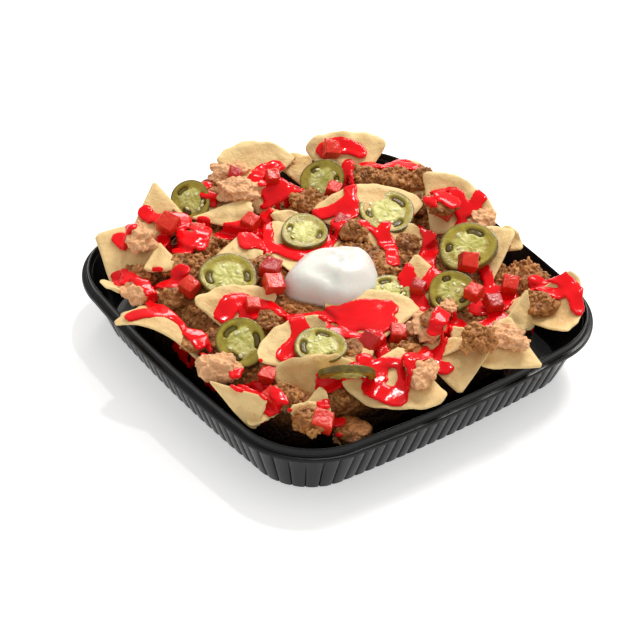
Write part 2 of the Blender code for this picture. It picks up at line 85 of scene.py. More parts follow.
# Rows: name, place (x, y, z) in mm, then heading, tilt and bank in degrees, the
# radius in mm, the sweep, the curl across, the bend along, in degrees, and the
# ripple in mm.
CHIPS = [
    ("chip_left_shard", (-77, 58, 50), -118, -14, 2, 22, 60, 12, 0, 0.3),
    ("chip_right_fin", (60, -86, 47), -140, -48, -42, 23, 55, 12, 20, 0.3),
    ("chip_front_flap", (12, -88, 48), 4, 20, -22, 16, 60, 20, 0, 0.4),
    ("chip_middle_left", (-33, 42, 49), -22, 6, 7, 27, 78, -25, 0, 0.5),
    ("chip_upper_left", (-22, 73, 50), -36, 8, 20, 36, 40, 10, 10, 0.4),
    ("chip_middle_right", (29, -38, 49), -116, -30, 0, 32, 80, -30, 0, 0.6),
    ("chip_right_fold", (80, -35, 50), 50, 21, -12, 42, 44, 25, 0, 0.5),
    ("chip_centre_left", (-65, 3, 47), 69, 23, 4, 38, 82, 35, 0, 0.8),
    ("chip_centre_curl", (-61, -41, 50), 98, 26, -6, 32, 102, 35, 0, 0.5),
    ("chip_centre_wave", (-64, -68, 41), 64, 54, 0, 44, 66, -15, 10, 2.0),
    ("chip_front_broad", (-31, -92, 42), -134, -15, -3, 42, 92, 20, 10, 0.8),
    ("chip_left_overhang", (-106, 17, 48), 105, -1, 8, 59, 30, -10, -80, 0.6),
    ("chip_centre_sauced", (-8, -42, 48), 52, 7, -2, 45, 76, -12, 0, 0.8),
    ("chip_upper_right", (45, 2, 48), 54, 18, 0, 32, 86, 20, 0, 0.8),
    ("chip_upper_ledge", (10, 83, 50), 40, 28, 7, 27, 92, 20, 0, 0.4),
    ("chip_under_pepper", (-5, 30, 47), 164, 2, -2, 45, 74, 15, 0, 0.8),
    ("chip_back_shell", (45, 30, 53), 64, 17, -2, 49, 90, -20, 0, 1.0),
    ("chip_upper_sliver", (-17, 87, 46), 160, 8, -18, 27, 50, 15, 0, 0.3),
    ("chip_front_left_hood", (-105, -58, 42), -74, -6, 60, 38, 30, 20, -16, 0.8),
    ("chip_front_cup", (-81, -86, 41), 58, 38, 0, 20, 72, 35, 0, 0.4),
    ("chip_front_right_tip", (36, -102, 44), 123, 18, -10, 36, 70, 10, 12, 0.6),
    ("chip_front_fold", (9, -94, 43), 56, 14, -10, 37, 74, 50, 0, 1.5),
    ("chip_right_bowl", (78, -89, 45), -50, 14, 14, 48, 60, 60, 20, 0.4),
    ("chip_back_right", (88, 4, 56), 9, 28, 14, 39, 92, 25, 8, 0.6),
    ("chip_back_wave", (78, 44, 46), 56, 8, 4, 34, 76, 30, 0, 0.8),
    ("chip_back_peak", (66, 79, 55), 60, 34, -5, 43, 75, 18, 8, 0.8),
    ("chip_back_left", (16, 101, 58), 62, 34, 4, 32, 100, 20, 8, 0.8),
    ("chip_left_peak", (-55, 93, 51), -113, -31, 0, 36, 62, -20, 0, 0.6),
    ("chip_left_corner", (-80, 81, 45), -66, 0, 19, 44, 86, -12, -8, 0.8),
]

# Broken bits of chip tucked into the heap, in the same columns.
SHARDS = [
    ((98, 60, 42), 60, 26, 10, 22, 60, 20, 0, 0.4),
    ((98, 34, 44), -10, 35, -15, 24, 70, 25, 0, 0.4),
    ((44, 98, 44), 80, 32, 10, 24, 66, 20, 0, 0.4),
    ((-36, 100, 43), 110, 25, 15, 22, 70, -20, 0, 0.4),
    ((101, -26, 43), -20, 28, 20, 20, 64, 20, 0, 0.3),
    ((-2, 12, 48), 200, 20, 8, 18, 66, 15, 0, 0.3),
    ((62, 50, 44), 150, 14, -8, 18, 60, 15, 0, 0.3),
    ((-104, 62, 40), 175, 20, 10, 20, 62, 20, 0, 0.3),
    ((20, -84, 46), 20, 26, 14, 16, 70, 10, 0, 0.3),
    ((-42, -68, 47), 40, 12, 10, 14, 76, 10, 0, 0.3),
    ((4, 54, 48), 70, 24, 6, 17, 66, 15, 0, 0.3),
    ((-46, 66, 46), 15, 22, -10, 16, 60, 10, 0, 0.3),
    ((-97, -62, 38), -92, -6, 14, 30, 46, 25, 0, 0.4),
    ((-34, -69, 48), 70, 24, 8, 12, 66, 15, 0, 0.3),
    ((-71, -79, 44), -20, 20, 10, 13, 60, 12, 0, 0.3),
]

# Rows: name, centre (x, y, z), the way the face leans, how far it leans, radius
# and thickness.
PEPPERS = [
    ("pepper_left_back", (-32, 96, 51), -128, 44, 11.5, 4.0),
    ("pepper_back", (40, 68, 53), -140, 42, 13.0, 4.0),
    ("pepper_back_right", (52, 23, 53), -120, 9, 16.5, 4.0),
    ("pepper_middle", (3, 35, 51), -110, 9, 13.5, 3.8),
    ("pepper_right", (68, -30, 54), -150, 24, 16.0, 4.2),
    ("pepper_left", (-56, 24, 51), -120, 18, 15.5, 4.0),
    ("pepper_front_left", (-81, -24, 48), -125, 36, 13.5, 4.4),
    ("pepper_front_right", (37, -54, 51), -135, 32, 12.5, 4.2),
    ("pepper_by_cream", (10, -33, 48), -100, 8, 13.0, 3.8),
    ("pepper_front", (-51, -53, 51), -120, 9, 13.5, 3.8),
    ("pepper_edge_on", (-51, -77, 49), 56, 52, 14.5, 3.8),
]

# Rows: name, centre (x, y, z), length, width, height, heading of the length.
BEANS = [
    ("beans_upper_left", (-7, 83, 56), 27, 18, 12, -40),
    ("beans_back_left", (-1, 103, 54), 24, 16, 12, -30),
    ("beans_left", (-78, 77, 54), 20, 16, 12, 60),
    ("beans_left_low", (-98, 48, 42), 23, 15, 12, 110),
    ("beans_front_left", (-99, -30, 43), 25, 17, 13, 130),
    ("beans_middle_right", (8, -70, 51), 26, 19, 12, 30),
    ("beans_front", (-17, -96, 49), 22, 17, 12, 40),
    ("beans_front_right", (38, -100, 50), 25, 15, 11, -60),
]
# Smaller spoonfuls: place (x, y), length, width, height, heading.
BEAN_BITS = [
    ((92, -14), 19, 12, 8, 20),
    ((3, 62), 18, 13, 8, -20),
    ((-80, -68), 20, 13, 9, 60),
    ((-66, -100), 20, 12, 9, 10),
    ((27, -97), 18, 14, 9, 30),
    ((30, -60), 12, 9, 6, 0),
    ((96, 58), 18, 12, 8, 80),
    ((36, 102), 16, 11, 7, 10),
]

# Rows: name, centre (x, y, z), heading, lean and edge length.
TOMATOES = [
    ("tomato_left_peak", (-60, 77, 57), 20, 24, 10.5),
    ("tomato_cream_upper", (-34, 15, 54), 35, 12, 10.0),
    ("tomato_cream_lower", (-41, 3, 53), 70, 18, 10.5),
    ("tomato_left", (-77, 30, 50), 10, 20, 9.5),
    ("tomato_right", (57, -43, 57), 50, 30, 9.5),
    ("tomato_back_right", (79, 4, 57), 15, 26, 10.5),
    ("tomato_front", (-79, -94, 42), 40, 15, 10.5),
    ("tomato_back", (58, 84, 60), 60, 28, 9.5),
]
# Smaller dice: place (x, y), heading, lean and edge length.
TOMATO_BITS = [
    ((41, 58), 30, 14, 8.5),
    ((-46, 70), 50, 10, 8.5),
    ((-16, 60), 20, 16, 9.0),
    ((16, 84), 65, 20, 8.0),
    ((28, 82), 10, 12, 8.5),
    ((-2, 96), 40, 18, 7.5),
    ((26, 30), 25, 10, 8.5),
    ((-26, -62), 15, 20, 9.5),
    ((-6, -62), 55, 12, 9.0),
    ((25, -40), 30, 8, 8.5),
    ((54, -70), 70, 15, 9.5),
    ((44, -64), 20, 12, 8.5),
    ((72, -62), 45, 20, 9.0),
    ((-82, -50), 35, 10, 8.5),
    ((-90, -64), 10, 18, 8.0),
    ((-58, -2), 60, 14, 8.5),
    ((-92, 30), 30, 12, 8.0),
    ((86, 60), 20, 10, 8.0),
]

# Piles of beef lying on the chips: place (x, y), radius and height.
BEEF_PILES = [
    ((-88, 63), 9, 7),
    ((-54, 84), 10, 3),
    ((-50, 64), 11, 7),
    ((-66, 50), 12, 8),
    ((-83, 38), 10, 8),
    ((-86, -9), 9, 7),
    ((-55, -12), 9, 6),
    ((26, 60), 10, 7),
    ((66, 58), 11, 9),
    ((80, 50), 12, 11),
    ((92, 45), 10, 10),
    ((80, 26), 9, 8),
    ((76, 4), 9, 7),
    ((30, 24), 12, 7),
    ((48, -2), 7, 5),
    ((22, -12), 8, 5),
    ((87, -57), 13, 10),
    ((75, -84), 11, 8),
    ((57, -94), 12, 8),
    ((20, -98), 9, 7),
    ((9, -73), 7, 5),
    ((-10, -78), 9, 6),
    ((-34, -60), 8, 5),
    ((-83, -88), 9, 7),
    ((-60, -94), 10, 8),
    ((-84, -68), 8, 7),
    ((-98, -4), 7, 5),
    ((-20, 102), 9, 6),
    ((96, -24), 8, 7),
]

# Red sauce: half width, then the route (x, y) that it was poured along.
SAUCE = [
    (5.0, [(-83, 92), (-82, 84)]),
    (5.0, [(-96, 72), (-99, 61)]),
    (4.5, [(-95, 64), (-95, 44), (-100, 27)]),
    (5.0, [(-62, 98), (-58, 86), (-46, 82), (-36, 77)]),
    (5.5, [(-48, 78), (-60, 76), (-66, 68)]),
    (5.5, [(-46, 76), (-44, 66), (-52, 57)]),
    (6.5, [(-64, 74), (-57, 68), (-61, 60)]),
    (5.0, [(-85, 50), (-83, 42), (-73, 44)]),
    (5.0, [(-31, 66), (-20, 61), (-8, 60), (0, 66)]),
    (7.5, [(-12, 58), (-22, 40)]),
    (5.0, [(-27, 50), (-30, 43)]),
    (3.5, [(-27, 98), (-19, 99)]),
    (3.5, [(-27, 97), (-22, 89)]),
    (4.5, [(5, 76), (15, 74), (24, 72)]),
    (5.0, [(5, 89), (15, 93), (24, 92), (26, 84)]),
    (5.0, [(10, 82), (22, 78)]),
    (5.5, [(57, 88), (66, 84), (73, 77)]),
    (4.5, [(66, 68), (76, 62), (86, 55), (92, 50)]),
    (4.5, [(64, 74), (52, 60), (43, 46), (35, 34)]),
    (5.0, [(38, 40), (25, 43), (12, 50)]),
    (5.0, [(34, 34), (22, 30), (6, 22), (-8, 21), (-15, 33)]),
    (5.0, [(80, 14), (90, 8), (88, -2)]),
    (5.5, [(76, 4), (80, -6), (79, -13)]),
    (4.5, [(102, -1), (92, -4), (82, -2)]),
    (5.5, [(56, 15), (65, 10), (62, -4), (53, -14), (46, -22)]),
    (4.5, [(35, 21), (38, 10), (36, -1), (28, -14)]),
    (3.5, [(44, 14), (37, 6)]),
    (5.5, [(25, -27), (22, -40), (21, -50)]),
    (4.0, [(24, -40), (35, -38), (43, -35)]),
    (3.5, [(71, -41), (65, -56), (58, -70)]),
    (5.0, [(57, -44), (50, -57)]),
    (5.0, [(60, -55), (67, -58)]),
    (6.0, [(29, -78), (42, -80), (52, -78)]),
    (6.5, [(48, -64), (60, -68), (70, -63)]),
    (5.5, [(87, -67), (92, -79), (91, -92), (87, -102)]),
    (5.0, [(79, -72), (84, -86)]),
    (5.5, [(-13, -90), (1, -83), (18, -72), (29, -70)]),
    (4.5, [(4, -82), (-4, -90), (0, -95)]),
    (4.0, [(-36, -70), (-30, -76), (-20, -84)]),
    (5.5, [(-34, -28), (-36, -38), (-30, -50), (-22, -58)]),
    (7.0, [(-24, -30), (-12, -36), (0, -44)]),
    (9.0, [(-20, -40), (-9, -50)]),
    (4.5, [(-17, -60), (-20, -68)]),
    (4.0, [(-48, -14), (-40, -20), (-30, -24)]),
    (5.5, [(-74, 1), (-66, 6), (-59, 2), (-64, -6), (-72, -8)]),
    (4.5, [(-53, -2), (-46, -10)]),
    (5.0, [(-116, 27), (-108, 23), (-99, 17), (-96, 10)]),
    (4.5, [(-98, 22), (-92, 14)]),
    (5.5, [(-95, 13), (-95, 3), (-96, -7), (-98, -17)]),
    (5.0, [(-50, -30), (-53, -39), (-60, -43), (-69, -46)]),
    (6.0, [(-95, -42), (-86, -50)]),
    (5.5, [(-101, -51), (-94, -58), (-91, -64)]),
    (6.5, [(-92, -64), (-93, -76), (-97, -87)]),
    (5.0, [(-62, -70), (-51, -73), (-40, -77), (-33, -82)]),
    (7.0, [(-42, -88), (-36, -99)]),
    (5.0, [(-20, -86), (-26, -94), (-33, -97)]),
    (4.0, [(-39, -74), (-35, -85)]),
    (3.5, [(-73, -85), (-64, -89)]),
    (3.0, [(-73, -98), (-71, -97)]),
    (4.5, [(98, 62), (93, 72)]),
]


# Settings ---------------------------------------------------------------------


def length_setting(name, default, description):
    return bpy.props.FloatProperty(
        name=name, default=default, description=description, min=0.0, unit="LENGTH", precision=4
    )


def colour_setting(name, default, description):
    return bpy.props.FloatVectorProperty(
        name=name, default=default, description=description, size=3, min=0.0, max=1.0, subtype="COLOR"
    )


def count_setting(name, default, description):
    return bpy.props.IntProperty(name=name, default=default, description=description, min=0)


def factor_setting(name, default, description):
    return bpy.props.FloatProperty(
        name=name, default=default, description=description, min=0.0, max=1.0, subtype="FACTOR"
    )


class NACHOS_TraySettings(bpy.types.PropertyGroup):
    ribs_per_side: count_setting("Ribs per side", 20, "Upright ribs along each straight wall")
    ribs_per_corner: count_setting("Ribs per corner", 7, "Upright ribs round each corner")
    rib_depth: length_setting("Rib depth", 1.5 * MM, "How far a rib stands out of the wall")
    ledge_height: length_setting("Ledge height", 31.0 * MM, "Height of the ledge over the ribs")
    base_side: length_setting("Base side", 196.0 * MM, "Distance between two opposite walls at the table")
    plastic: colour_setting("Plastic", (0.004, 0.004, 0.0042), "Colour of the moulded plastic")


class NACHOS_ChipSettings(bpy.types.PropertyGroup):
    thickness: length_setting("Thickness", 1.5 * MM, "Thickness of a chip")
    blister: length_setting("Blister", 0.55 * MM, "How far a fried blister stands up")
    corn: colour_setting("Corn", (0.80, 0.585, 0.27), "Pale colour of the fried corn")
    toasted: colour_setting("Toasted", (0.52, 0.225, 0.04), "Colour of the browned rims and spots")


class NACHOS_BeefSettings(bpy.types.PropertyGroup):
    shrink: length_setting("Core inset", 1.6 * MM, "How far the core lies under the heap's outline")
    crumb_spacing: length_setting("Crumb spacing", 3.2 * MM, "Least distance between two crumbs")
    brown: colour_setting("Brown", (0.40, 0.135, 0.028), "Colour of the browned beef")
    pale: colour_setting("Pale", (0.64, 0.30, 0.085), "Colour of the fatty bits")
    # Dark also paints the shade in the beef's creases and on the heap's low flanks, besides the seared spots.
    dark: colour_setting("Dark", (0.11, 0.030, 0.007), "Colour of the seared spots")


class NACHOS_ToppingSettings(bpy.types.PropertyGroup):
    bean: colour_setting("Beans", (0.87, 0.47, 0.225), "Colour of the mashed beans")
    pepper_skin: colour_setting("Pepper skin", (0.11, 0.075, 0.008), "Colour of the pickled skin")
    pepper_flesh: colour_setting("Pepper flesh", (0.31, 0.245, 0.022), "Colour of the pickled flesh")
    tomato: colour_setting("Tomato", (0.66, 0.022, 0.010), "Colour of the tomato flesh")
    cream: colour_setting("Soured cream", (0.76, 0.755, 0.69), "Colour of the soured cream")


class NACHOS_SauceSettings(bpy.types.PropertyGroup):
    thickness: length_setting("Thickness", 0.9 * MM, "Half the thickness of the poured sauce")
    spacing: length_setting("Spacing", 1.1 * MM, "Distance between the drops that make the sauce")
    wander: factor_setting("Wander", 0.3, "How uneven the edge of the sauce is")
    red: colour_setting("Red", (0.80, 0.004, 0.007), "Colour of the sauce")


class NACHOS_StageSettings(bpy.types.PropertyGroup):
    floor_side: length_setting("Floor side", 8.0, "Side of the pale floor")
    floor: colour_setting("Floor", (0.88, 0.88, 0.88), "Colour of the floor")
    distance: length_setting("Distance", 1.27005, "Distance from the tray's middle to the camera")


class NACHOS_Settings(bpy.types.PropertyGroup):
    tray: bpy.props.PointerProperty(type=NACHOS_TraySettings)
    chips: bpy.props.PointerProperty(type=NACHOS_ChipSettings)
    beef: bpy.props.PointerProperty(type=NACHOS_BeefSettings)
    toppings: bpy.props.PointerProperty(type=NACHOS_ToppingSettings)
    sauce: bpy.props.PointerProperty(type=NACHOS_SauceSettings)
    stage: bpy.props.PointerProperty(type=NACHOS_StageSettings)


# Meshes -----------------------------------------------------------------------


def link_object(name, data, material=None):
    piece = bpy.data.objects.new(name, data)
    bpy.context.scene.collection.objects.link(piece)
    if material:
        data.materials.append(material)
    return piece


def mesh_from_bmesh(bm, name, smooth=True, recalculate=True):
    if recalculate:
        bmesh.ops.recalc_face_normals(bm, faces=bm.faces)
    mesh = bpy.data.meshes.new(name)
    bm.to_mesh(mesh)
    bm.free()
    if smooth:
        mesh.shade_smooth()
    return mesh


def bake_modifiers(piece):
    """Turn the evaluated piece into a plain mesh and drop its modifiers."""
    bpy.context.view_layer.update()
    depsgraph = bpy.context.evaluated_depsgraph_get()
    mesh = bpy.data.meshes.new_from_object(piece.evaluated_get(depsgraph), depsgraph=depsgraph)
    piece.modifiers.clear()
    if piece.type != "MESH":
        name = piece.name
        bpy.data.objects.remove(piece, do_unlink=True)
        piece = link_object(name, mesh)
    else:
        piece.data = mesh
    piece.data.name = piece.name
    return piece


def finish_piece(piece, nodes=()):
    """Let a finished piece ride with the tray's body and hide the solids that it stands in for."""
    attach(piece, BODY)
    if nodes:
        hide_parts(*nodes)
    return piece


def add_loop(bm, points, height):
    return [bm.verts.new((point.x, point.y, height)) for point in points]


def join_loops(bm, lower, upper):
    for index in range(len(lower)):
        after = (index + 1) % len(lower)
        bm.faces.new((lower[index], lower[after], upper[after], upper[index]))


def write_attribute(mesh, name, values):
    layer = mesh.attributes.new(name, "FLOAT", "POINT")
    layer.data.foreach_set("value", values)


def place_matrix(place, heading, tilt, bank):
    """Heading turns about Z, tilt lifts the local X end, bank rolls about local X."""
    location = Matrix.Translation(Vector(place) * MM)
    turn = Matrix.Rotation(math.radians(heading), 4, "Z")
    lift = Matrix.Rotation(-math.radians(tilt), 4, "Y")
    roll = Matrix.Rotation(math.radians(bank), 4, "X")
    return location @ turn @ lift @ roll


def surface_of(pieces):
    """One search tree over the faces of several pieces."""
    points = []
    faces = []
    for piece in pieces:
        start = len(points)
        points.extend(vert.co.copy() for vert in piece.data.vertices)
        faces.extend([start + index for index in face.vertices] for face in piece.data.polygons)
    return BVHTree.FromPolygons(points, faces)


DROP_HEIGHT = 0.12
UP = Vector((0, 0, 1))


def drop(surface, x, y):
    """Where a thing dropped at (x, y) lands, and which way the surface faces there."""
    place, normal, _, _ = surface.ray_cast(Vector((x, y, DROP_HEIGHT)), -UP)
    if place is not None and normal.z < 0:
        normal = -normal
    return place, normal


def landing(surface, x, y):
    """As drop, in mm: a thing put down beside the food slides in until it lands."""
    spot = Vector((x, y)) * MM
    place, normal = drop(surface, spot.x, spot.y)
    while place is None:
        spot *= 0.985
        place, normal = drop(surface, spot.x, spot.y)
    return place, normal


def food_pieces():
    return [piece for piece in bpy.data.objects if piece.get("food")]


def food_surface():
    """What falling food lands on: the pieces so far, and the heap between them."""
    return surface_of([*food_pieces(), frame["nodes"]["heap"]])


def lumpiness(point, size):
    """Rounded lumps of about the given size: 1 on a lump's top, 0 in the creases."""
    distances, _ = noise.voronoi(point / size)
    return max(0.0, 1.0 - distances[0] * 1.4)


# Materials --------------------------------------------------------------------


def add_node(tree, kind, links=None, **settings):
    """A shader node; links holds socket values, or sockets to link from."""
    item = tree.nodes.new(kind)
    for name, value in settings.items():
        setattr(item, name, value)
    for socket, value in (links or {}).items():
        if isinstance(value, bpy.types.NodeSocket):
            tree.links.new(value, item.inputs[socket])
        else:
            item.inputs[socket].default_value = value
    return item


MIX_FACTOR, MIX_A, MIX_B, MIX_RESULT = 0, 6, 7, 2


def mix_colours(tree, factor, first, second):
    item = add_node(tree, "ShaderNodeMix", data_type="RGBA")
    for socket, value in ((MIX_FACTOR, factor), (MIX_A, first), (MIX_B, second)):
        if isinstance(value, bpy.types.NodeSocket):
            tree.links.new(value, item.inputs[socket])
        elif socket == MIX_FACTOR:
            item.inputs[socket].default_value = value
        else:
            item.inputs[socket].default_value = (*value, 1.0)
    return item.outputs[MIX_RESULT]


def object_coordinates(tree):
    return add_node(tree, "ShaderNodeTexCoord").outputs["Object"]


def attribute(tree, name):
    return add_node(tree, "ShaderNodeAttribute", attribute_name=name).outputs["Fac"]


def maths(tree, operation, first, second):
    item = add_node(tree, "ShaderNodeMath", operation=operation)
    for socket, value in enumerate((first, second)):
        if isinstance(value, bpy.types.NodeSocket):
            tree.links.new(value, item.inputs[socket])
        else:
            item.inputs[socket].default_value = value
    return item.outputs[0]


def patches_group():
    """Uneven patches: a mask between two noise levels, and the noise as a height."""
    known = bpy.data.node_groups.get("Uneven patches")
    if known:
        return known
    tree = bpy.data.node_groups.new("Uneven patches", "ShaderNodeTree")
    sockets = tree.interface
    sockets.new_socket("Vector", in_out="INPUT", socket_type="NodeSocketVector")
    for name, default in (("Scale", 100.0), ("Low", 0.4), ("High", 0.6), ("Distortion", 0.0)):
        socket = sockets.new_socket(name, in_out="INPUT", socket_type="NodeSocketFloat")
        socket.default_value = default
    sockets.new_socket("Mask", in_out="OUTPUT", socket_type="NodeSocketFloat")
    sockets.new_socket("Height", in_out="OUTPUT", socket_type="NodeSocketFloat")
    entry = add_node(tree, "NodeGroupInput")
    grain = add_node(tree, "ShaderNodeTexNoise", {
        "Vector": entry.outputs["Vector"],
        "Scale": entry.outputs["Scale"],
        "Distortion": entry.outputs["Distortion"],
        "Detail": 4.0,
    })
    level = add_node(tree, "ShaderNodeMapRange", {
        "Value": grain.outputs[0],
        "From Min": entry.outputs["Low"],
        "From Max": entry.outputs["High"],
    })
    leave = add_node(tree, "NodeGroupOutput")
    tree.links.new(level.outputs["Result"], leave.inputs["Mask"])
    tree.links.new(grain.outputs[0], leave.inputs["Height"])
    return tree


def patches(tree, vector, scale, low=0.4, high=0.6, distortion=0.0):
    """Place the shared patches group; returns its mask and its height."""
    item = tree.nodes.new("ShaderNodeGroup")
    item.node_tree = patches_group()
    tree.links.new(vector, item.inputs["Vector"])
    item.inputs["Scale"].default_value = scale
    item.inputs["Low"].default_value = low
    item.inputs["High"].default_value = high
    item.inputs["Distortion"].default_value = distortion
    return item.outputs["Mask"], item.outputs["Height"]


def lumps_group():
    """Small round lumps from cells: a height, and a mask of the creases between them."""
    known = bpy.data.node_groups.get("Round lumps")
    if known:
        return known
    tree = bpy.data.node_groups.new("Round lumps", "ShaderNodeTree")
    tree.interface.new_socket("Vector", in_out="INPUT", socket_type="NodeSocketVector")
    tree.interface.new_socket("Scale", in_out="INPUT", socket_type="NodeSocketFloat")
    tree.interface.new_socket("Height", in_out="OUTPUT", socket_type="NodeSocketFloat")
    tree.interface.new_socket("Crease", in_out="OUTPUT", socket_type="NodeSocketFloat")
    entry = add_node(tree, "NodeGroupInput")
    cells = add_node(tree, "ShaderNodeTexVoronoi", {
        "Vector": entry.outputs["Vector"],
        "Scale": entry.outputs["Scale"],
    }, feature="SMOOTH_F1")
    height = maths(tree, "SUBTRACT", 1.0, cells.outputs["Distance"])
    crease = add_node(tree, "ShaderNodeMapRange", {
        "Value": cells.outputs["Distance"], "From Min": 0.35, "From Max": 0.75,
    })
    leave = add_node(tree, "NodeGroupOutput")
    tree.links.new(height, leave.inputs["Height"])
    tree.links.new(crease.outputs["Result"], leave.inputs["Crease"])
    return tree


def round_lumps(tree, vector, scale):
    item = tree.nodes.new("ShaderNodeGroup")
    item.node_tree = lumps_group()
    tree.links.new(vector, item.inputs["Vector"])
    item.inputs["Scale"].default_value = scale
    return item.outputs["Height"], item.outputs["Crease"]


def new_material(name, **values):
    """A material with its Principled BSDF; values are that shader's constants."""
    material = bpy.data.materials.new(name)
    material.use_nodes = True
    tree = material.node_tree
    shader = tree.nodes["Principled BSDF"]
    for socket, value in values.items():
        shader.inputs[socket.replace("_", " ")].default_value = value
    return material, tree, shader


def connect(tree, shader, colour=None, roughness=None, bumps=()):
    """Feed the shader; bumps are (height socket, depth in metres), coarse first."""
    if colour is not None:
        tree.links.new(colour, shader.inputs["Base Color"])
    if roughness is not None:
        tree.links.new(roughness, shader.inputs["Roughness"])
    normal = None
    for height, depth in bumps:
        bump = add_node(tree, "ShaderNodeBump", {"Strength": 1.0, "Distance": depth, "Height": height})
        if normal is not None:
            tree.links.new(normal, bump.inputs["Normal"])
        normal = bump.outputs["Normal"]
    if normal is not None:
        tree.links.new(normal, shader.inputs["Normal"])


def spread(tree, mask, low, high):
    """Turn a mask of 0 to 1 into a value between low and high."""
    item = add_node(tree, "ShaderNodeMapRange", {"Value": mask, "To Min": low, "To Max": high})
    return item.outputs["Result"]


def plastic_material(settings):
    material, tree, shader = new_material("black_plastic", Specular_IOR_Level=0.22)
    vector = object_coordinates(tree)
    smudge, _ = patches(tree, vector, 28.0, 0.42, 0.62, 0.6)
    _, orange_peel = patches(tree, vector, 700.0)
    colour = mix_colours(tree, smudge, settings.plastic, [1.6 * value for value in settings.plastic])
    connect(tree, shader, colour, spread(tree, smudge, 0.2, 0.27), [(orange_peel, 0.02 * MM)])
    return material


def chip_material(settings):
    material, tree, shader = new_material("fried_corn", Specular_IOR_Level=0.3)
    vector = object_coordinates(tree)
    cloud, _ = patches(tree, vector, 55.0, 0.42, 0.64, 0.8)
    mottle, _ = patches(tree, vector, 170.0, 0.46, 0.66, 0.5)
    spots, spot_height = patches(tree, vector, 330.0, 0.62, 0.72)
    flecks, _ = patches(tree, vector, 950.0, 0.67, 0.73)
    _, grain = patches(tree, vector, 1300.0)
    golden = [0.62 * a + 0.38 * b for a, b in zip(settings.corn, settings.toasted)]
    # Painted shade: chips that lie in shade carry a higher toast value, which darkens their whole face
    # towards golden brown; the rest of that value is real browning.
    tone = attribute(tree, "toast")
    fried = mix_colours(tree, tone, settings.corn, golden)
    browned = [0.25 * a + 0.75 * b for a, b in zip(settings.corn, settings.toasted)]
    patchy = maths(tree, "MULTIPLY", cloud, spread(tree, tone, 0.15, 0.85))
    colour = mix_colours(tree, patchy, fried, browned)
    colour = mix_colours(tree, maths(tree, "MULTIPLY", mottle, spread(tree, tone, 0.3, 0.5)), colour, golden)
    pale = [min(1.0, 1.06 * value) for value in settings.corn]
    colour = mix_colours(tree, maths(tree, "MULTIPLY", attribute(tree, "rim"), 0.75), colour, pale)
    colour = mix_colours(tree, maths(tree, "MULTIPLY", spots, 0.45), colour, settings.toasted)
    colour = mix_colours(tree, maths(tree, "MULTIPLY", flecks, 0.55), colour, (0.30, 0.12, 0.03))
    bumps = [(spot_height, 0.7 * MM), (grain, 0.2 * MM)]
    connect(tree, shader, colour, spread(tree, cloud, 0.58, 0.46), bumps)
    return material


def beef_material(settings):
    material, tree, shader = new_material("browned_beef", Specular_IOR_Level=0.35)
    vector = object_coordinates(tree)
    pale, _ = patches(tree, vector, 230.0, 0.44, 0.62)
    seared, _ = patches(tree, vector, 110.0, 0.50, 0.68, 0.4)
    lump_height, crease = round_lumps(tree, vector, 620.0)
    _, grain = patches(tree, vector, 2000.0)
    tone = attribute(tree, "tone")
    colour = mix_colours(tree, spread(tree, tone, -0.2, 0.75), settings.brown, settings.pale)
    colour = mix_colours(tree, maths(tree, "MULTIPLY", pale, 0.45), colour, settings.pale)
    dark_share = maths(tree, "MULTIPLY", seared, spread(tree, tone, 0.85, 0.25))
    colour = mix_colours(tree, dark_share, colour, settings.dark)
    # Painted shade: the creases between the lumps are mixed towards the dark colour.
    colour = mix_colours(tree, maths(tree, "MULTIPLY", crease, 0.55), colour, settings.dark)
    # Painted shade: the heap's low flanks, from 34 mm down to 22 mm, are mixed almost to black, where the
    # tray wall and the chips keep the light off.
    height = add_node(tree, "ShaderNodeSeparateXYZ", {"Vector": vector}).outputs["Z"]
    sunk = add_node(tree, "ShaderNodeMapRange", {
        "Value": height, "From Min": 34 * MM, "From Max": 22 * MM, "To Min": 0.0, "To Max": 0.95,
    }, interpolation_type="SMOOTHSTEP")
    colour = mix_colours(tree, sunk.outputs["Result"], colour, [0.12 * value for value in settings.dark])
    bumps = [(lump_height, 1.0 * MM), (grain, 0.3 * MM)]
    connect(tree, shader, colour, spread(tree, pale, 0.38, 0.58), bumps)
    return material


def bean_material(settings):
    material, tree, shader = new_material("mashed_beans", Specular_IOR_Level=0.35)
    vector = object_coordinates(tree)
    brown, _ = patches(tree, vector, 130.0, 0.45, 0.70, 0.3)
    lump_height, crease = round_lumps(tree, vector, 650.0)
    _, grain = patches(tree, vector, 1600.0)
    shade = [0.70 * value for value in settings.bean]
    colour = mix_colours(tree, brown, settings.bean, shade)
    # Painted shade: the creases between the lumps are mixed towards dark brown.
    colour = mix_colours(tree, maths(tree, "MULTIPLY", crease, 0.42), colour, (0.36, 0.13, 0.05))
    bumps = [(lump_height, 1.0 * MM), (grain, 0.25 * MM)]
    connect(tree, shader, colour, spread(tree, brown, 0.5, 0.65), bumps)
    return material


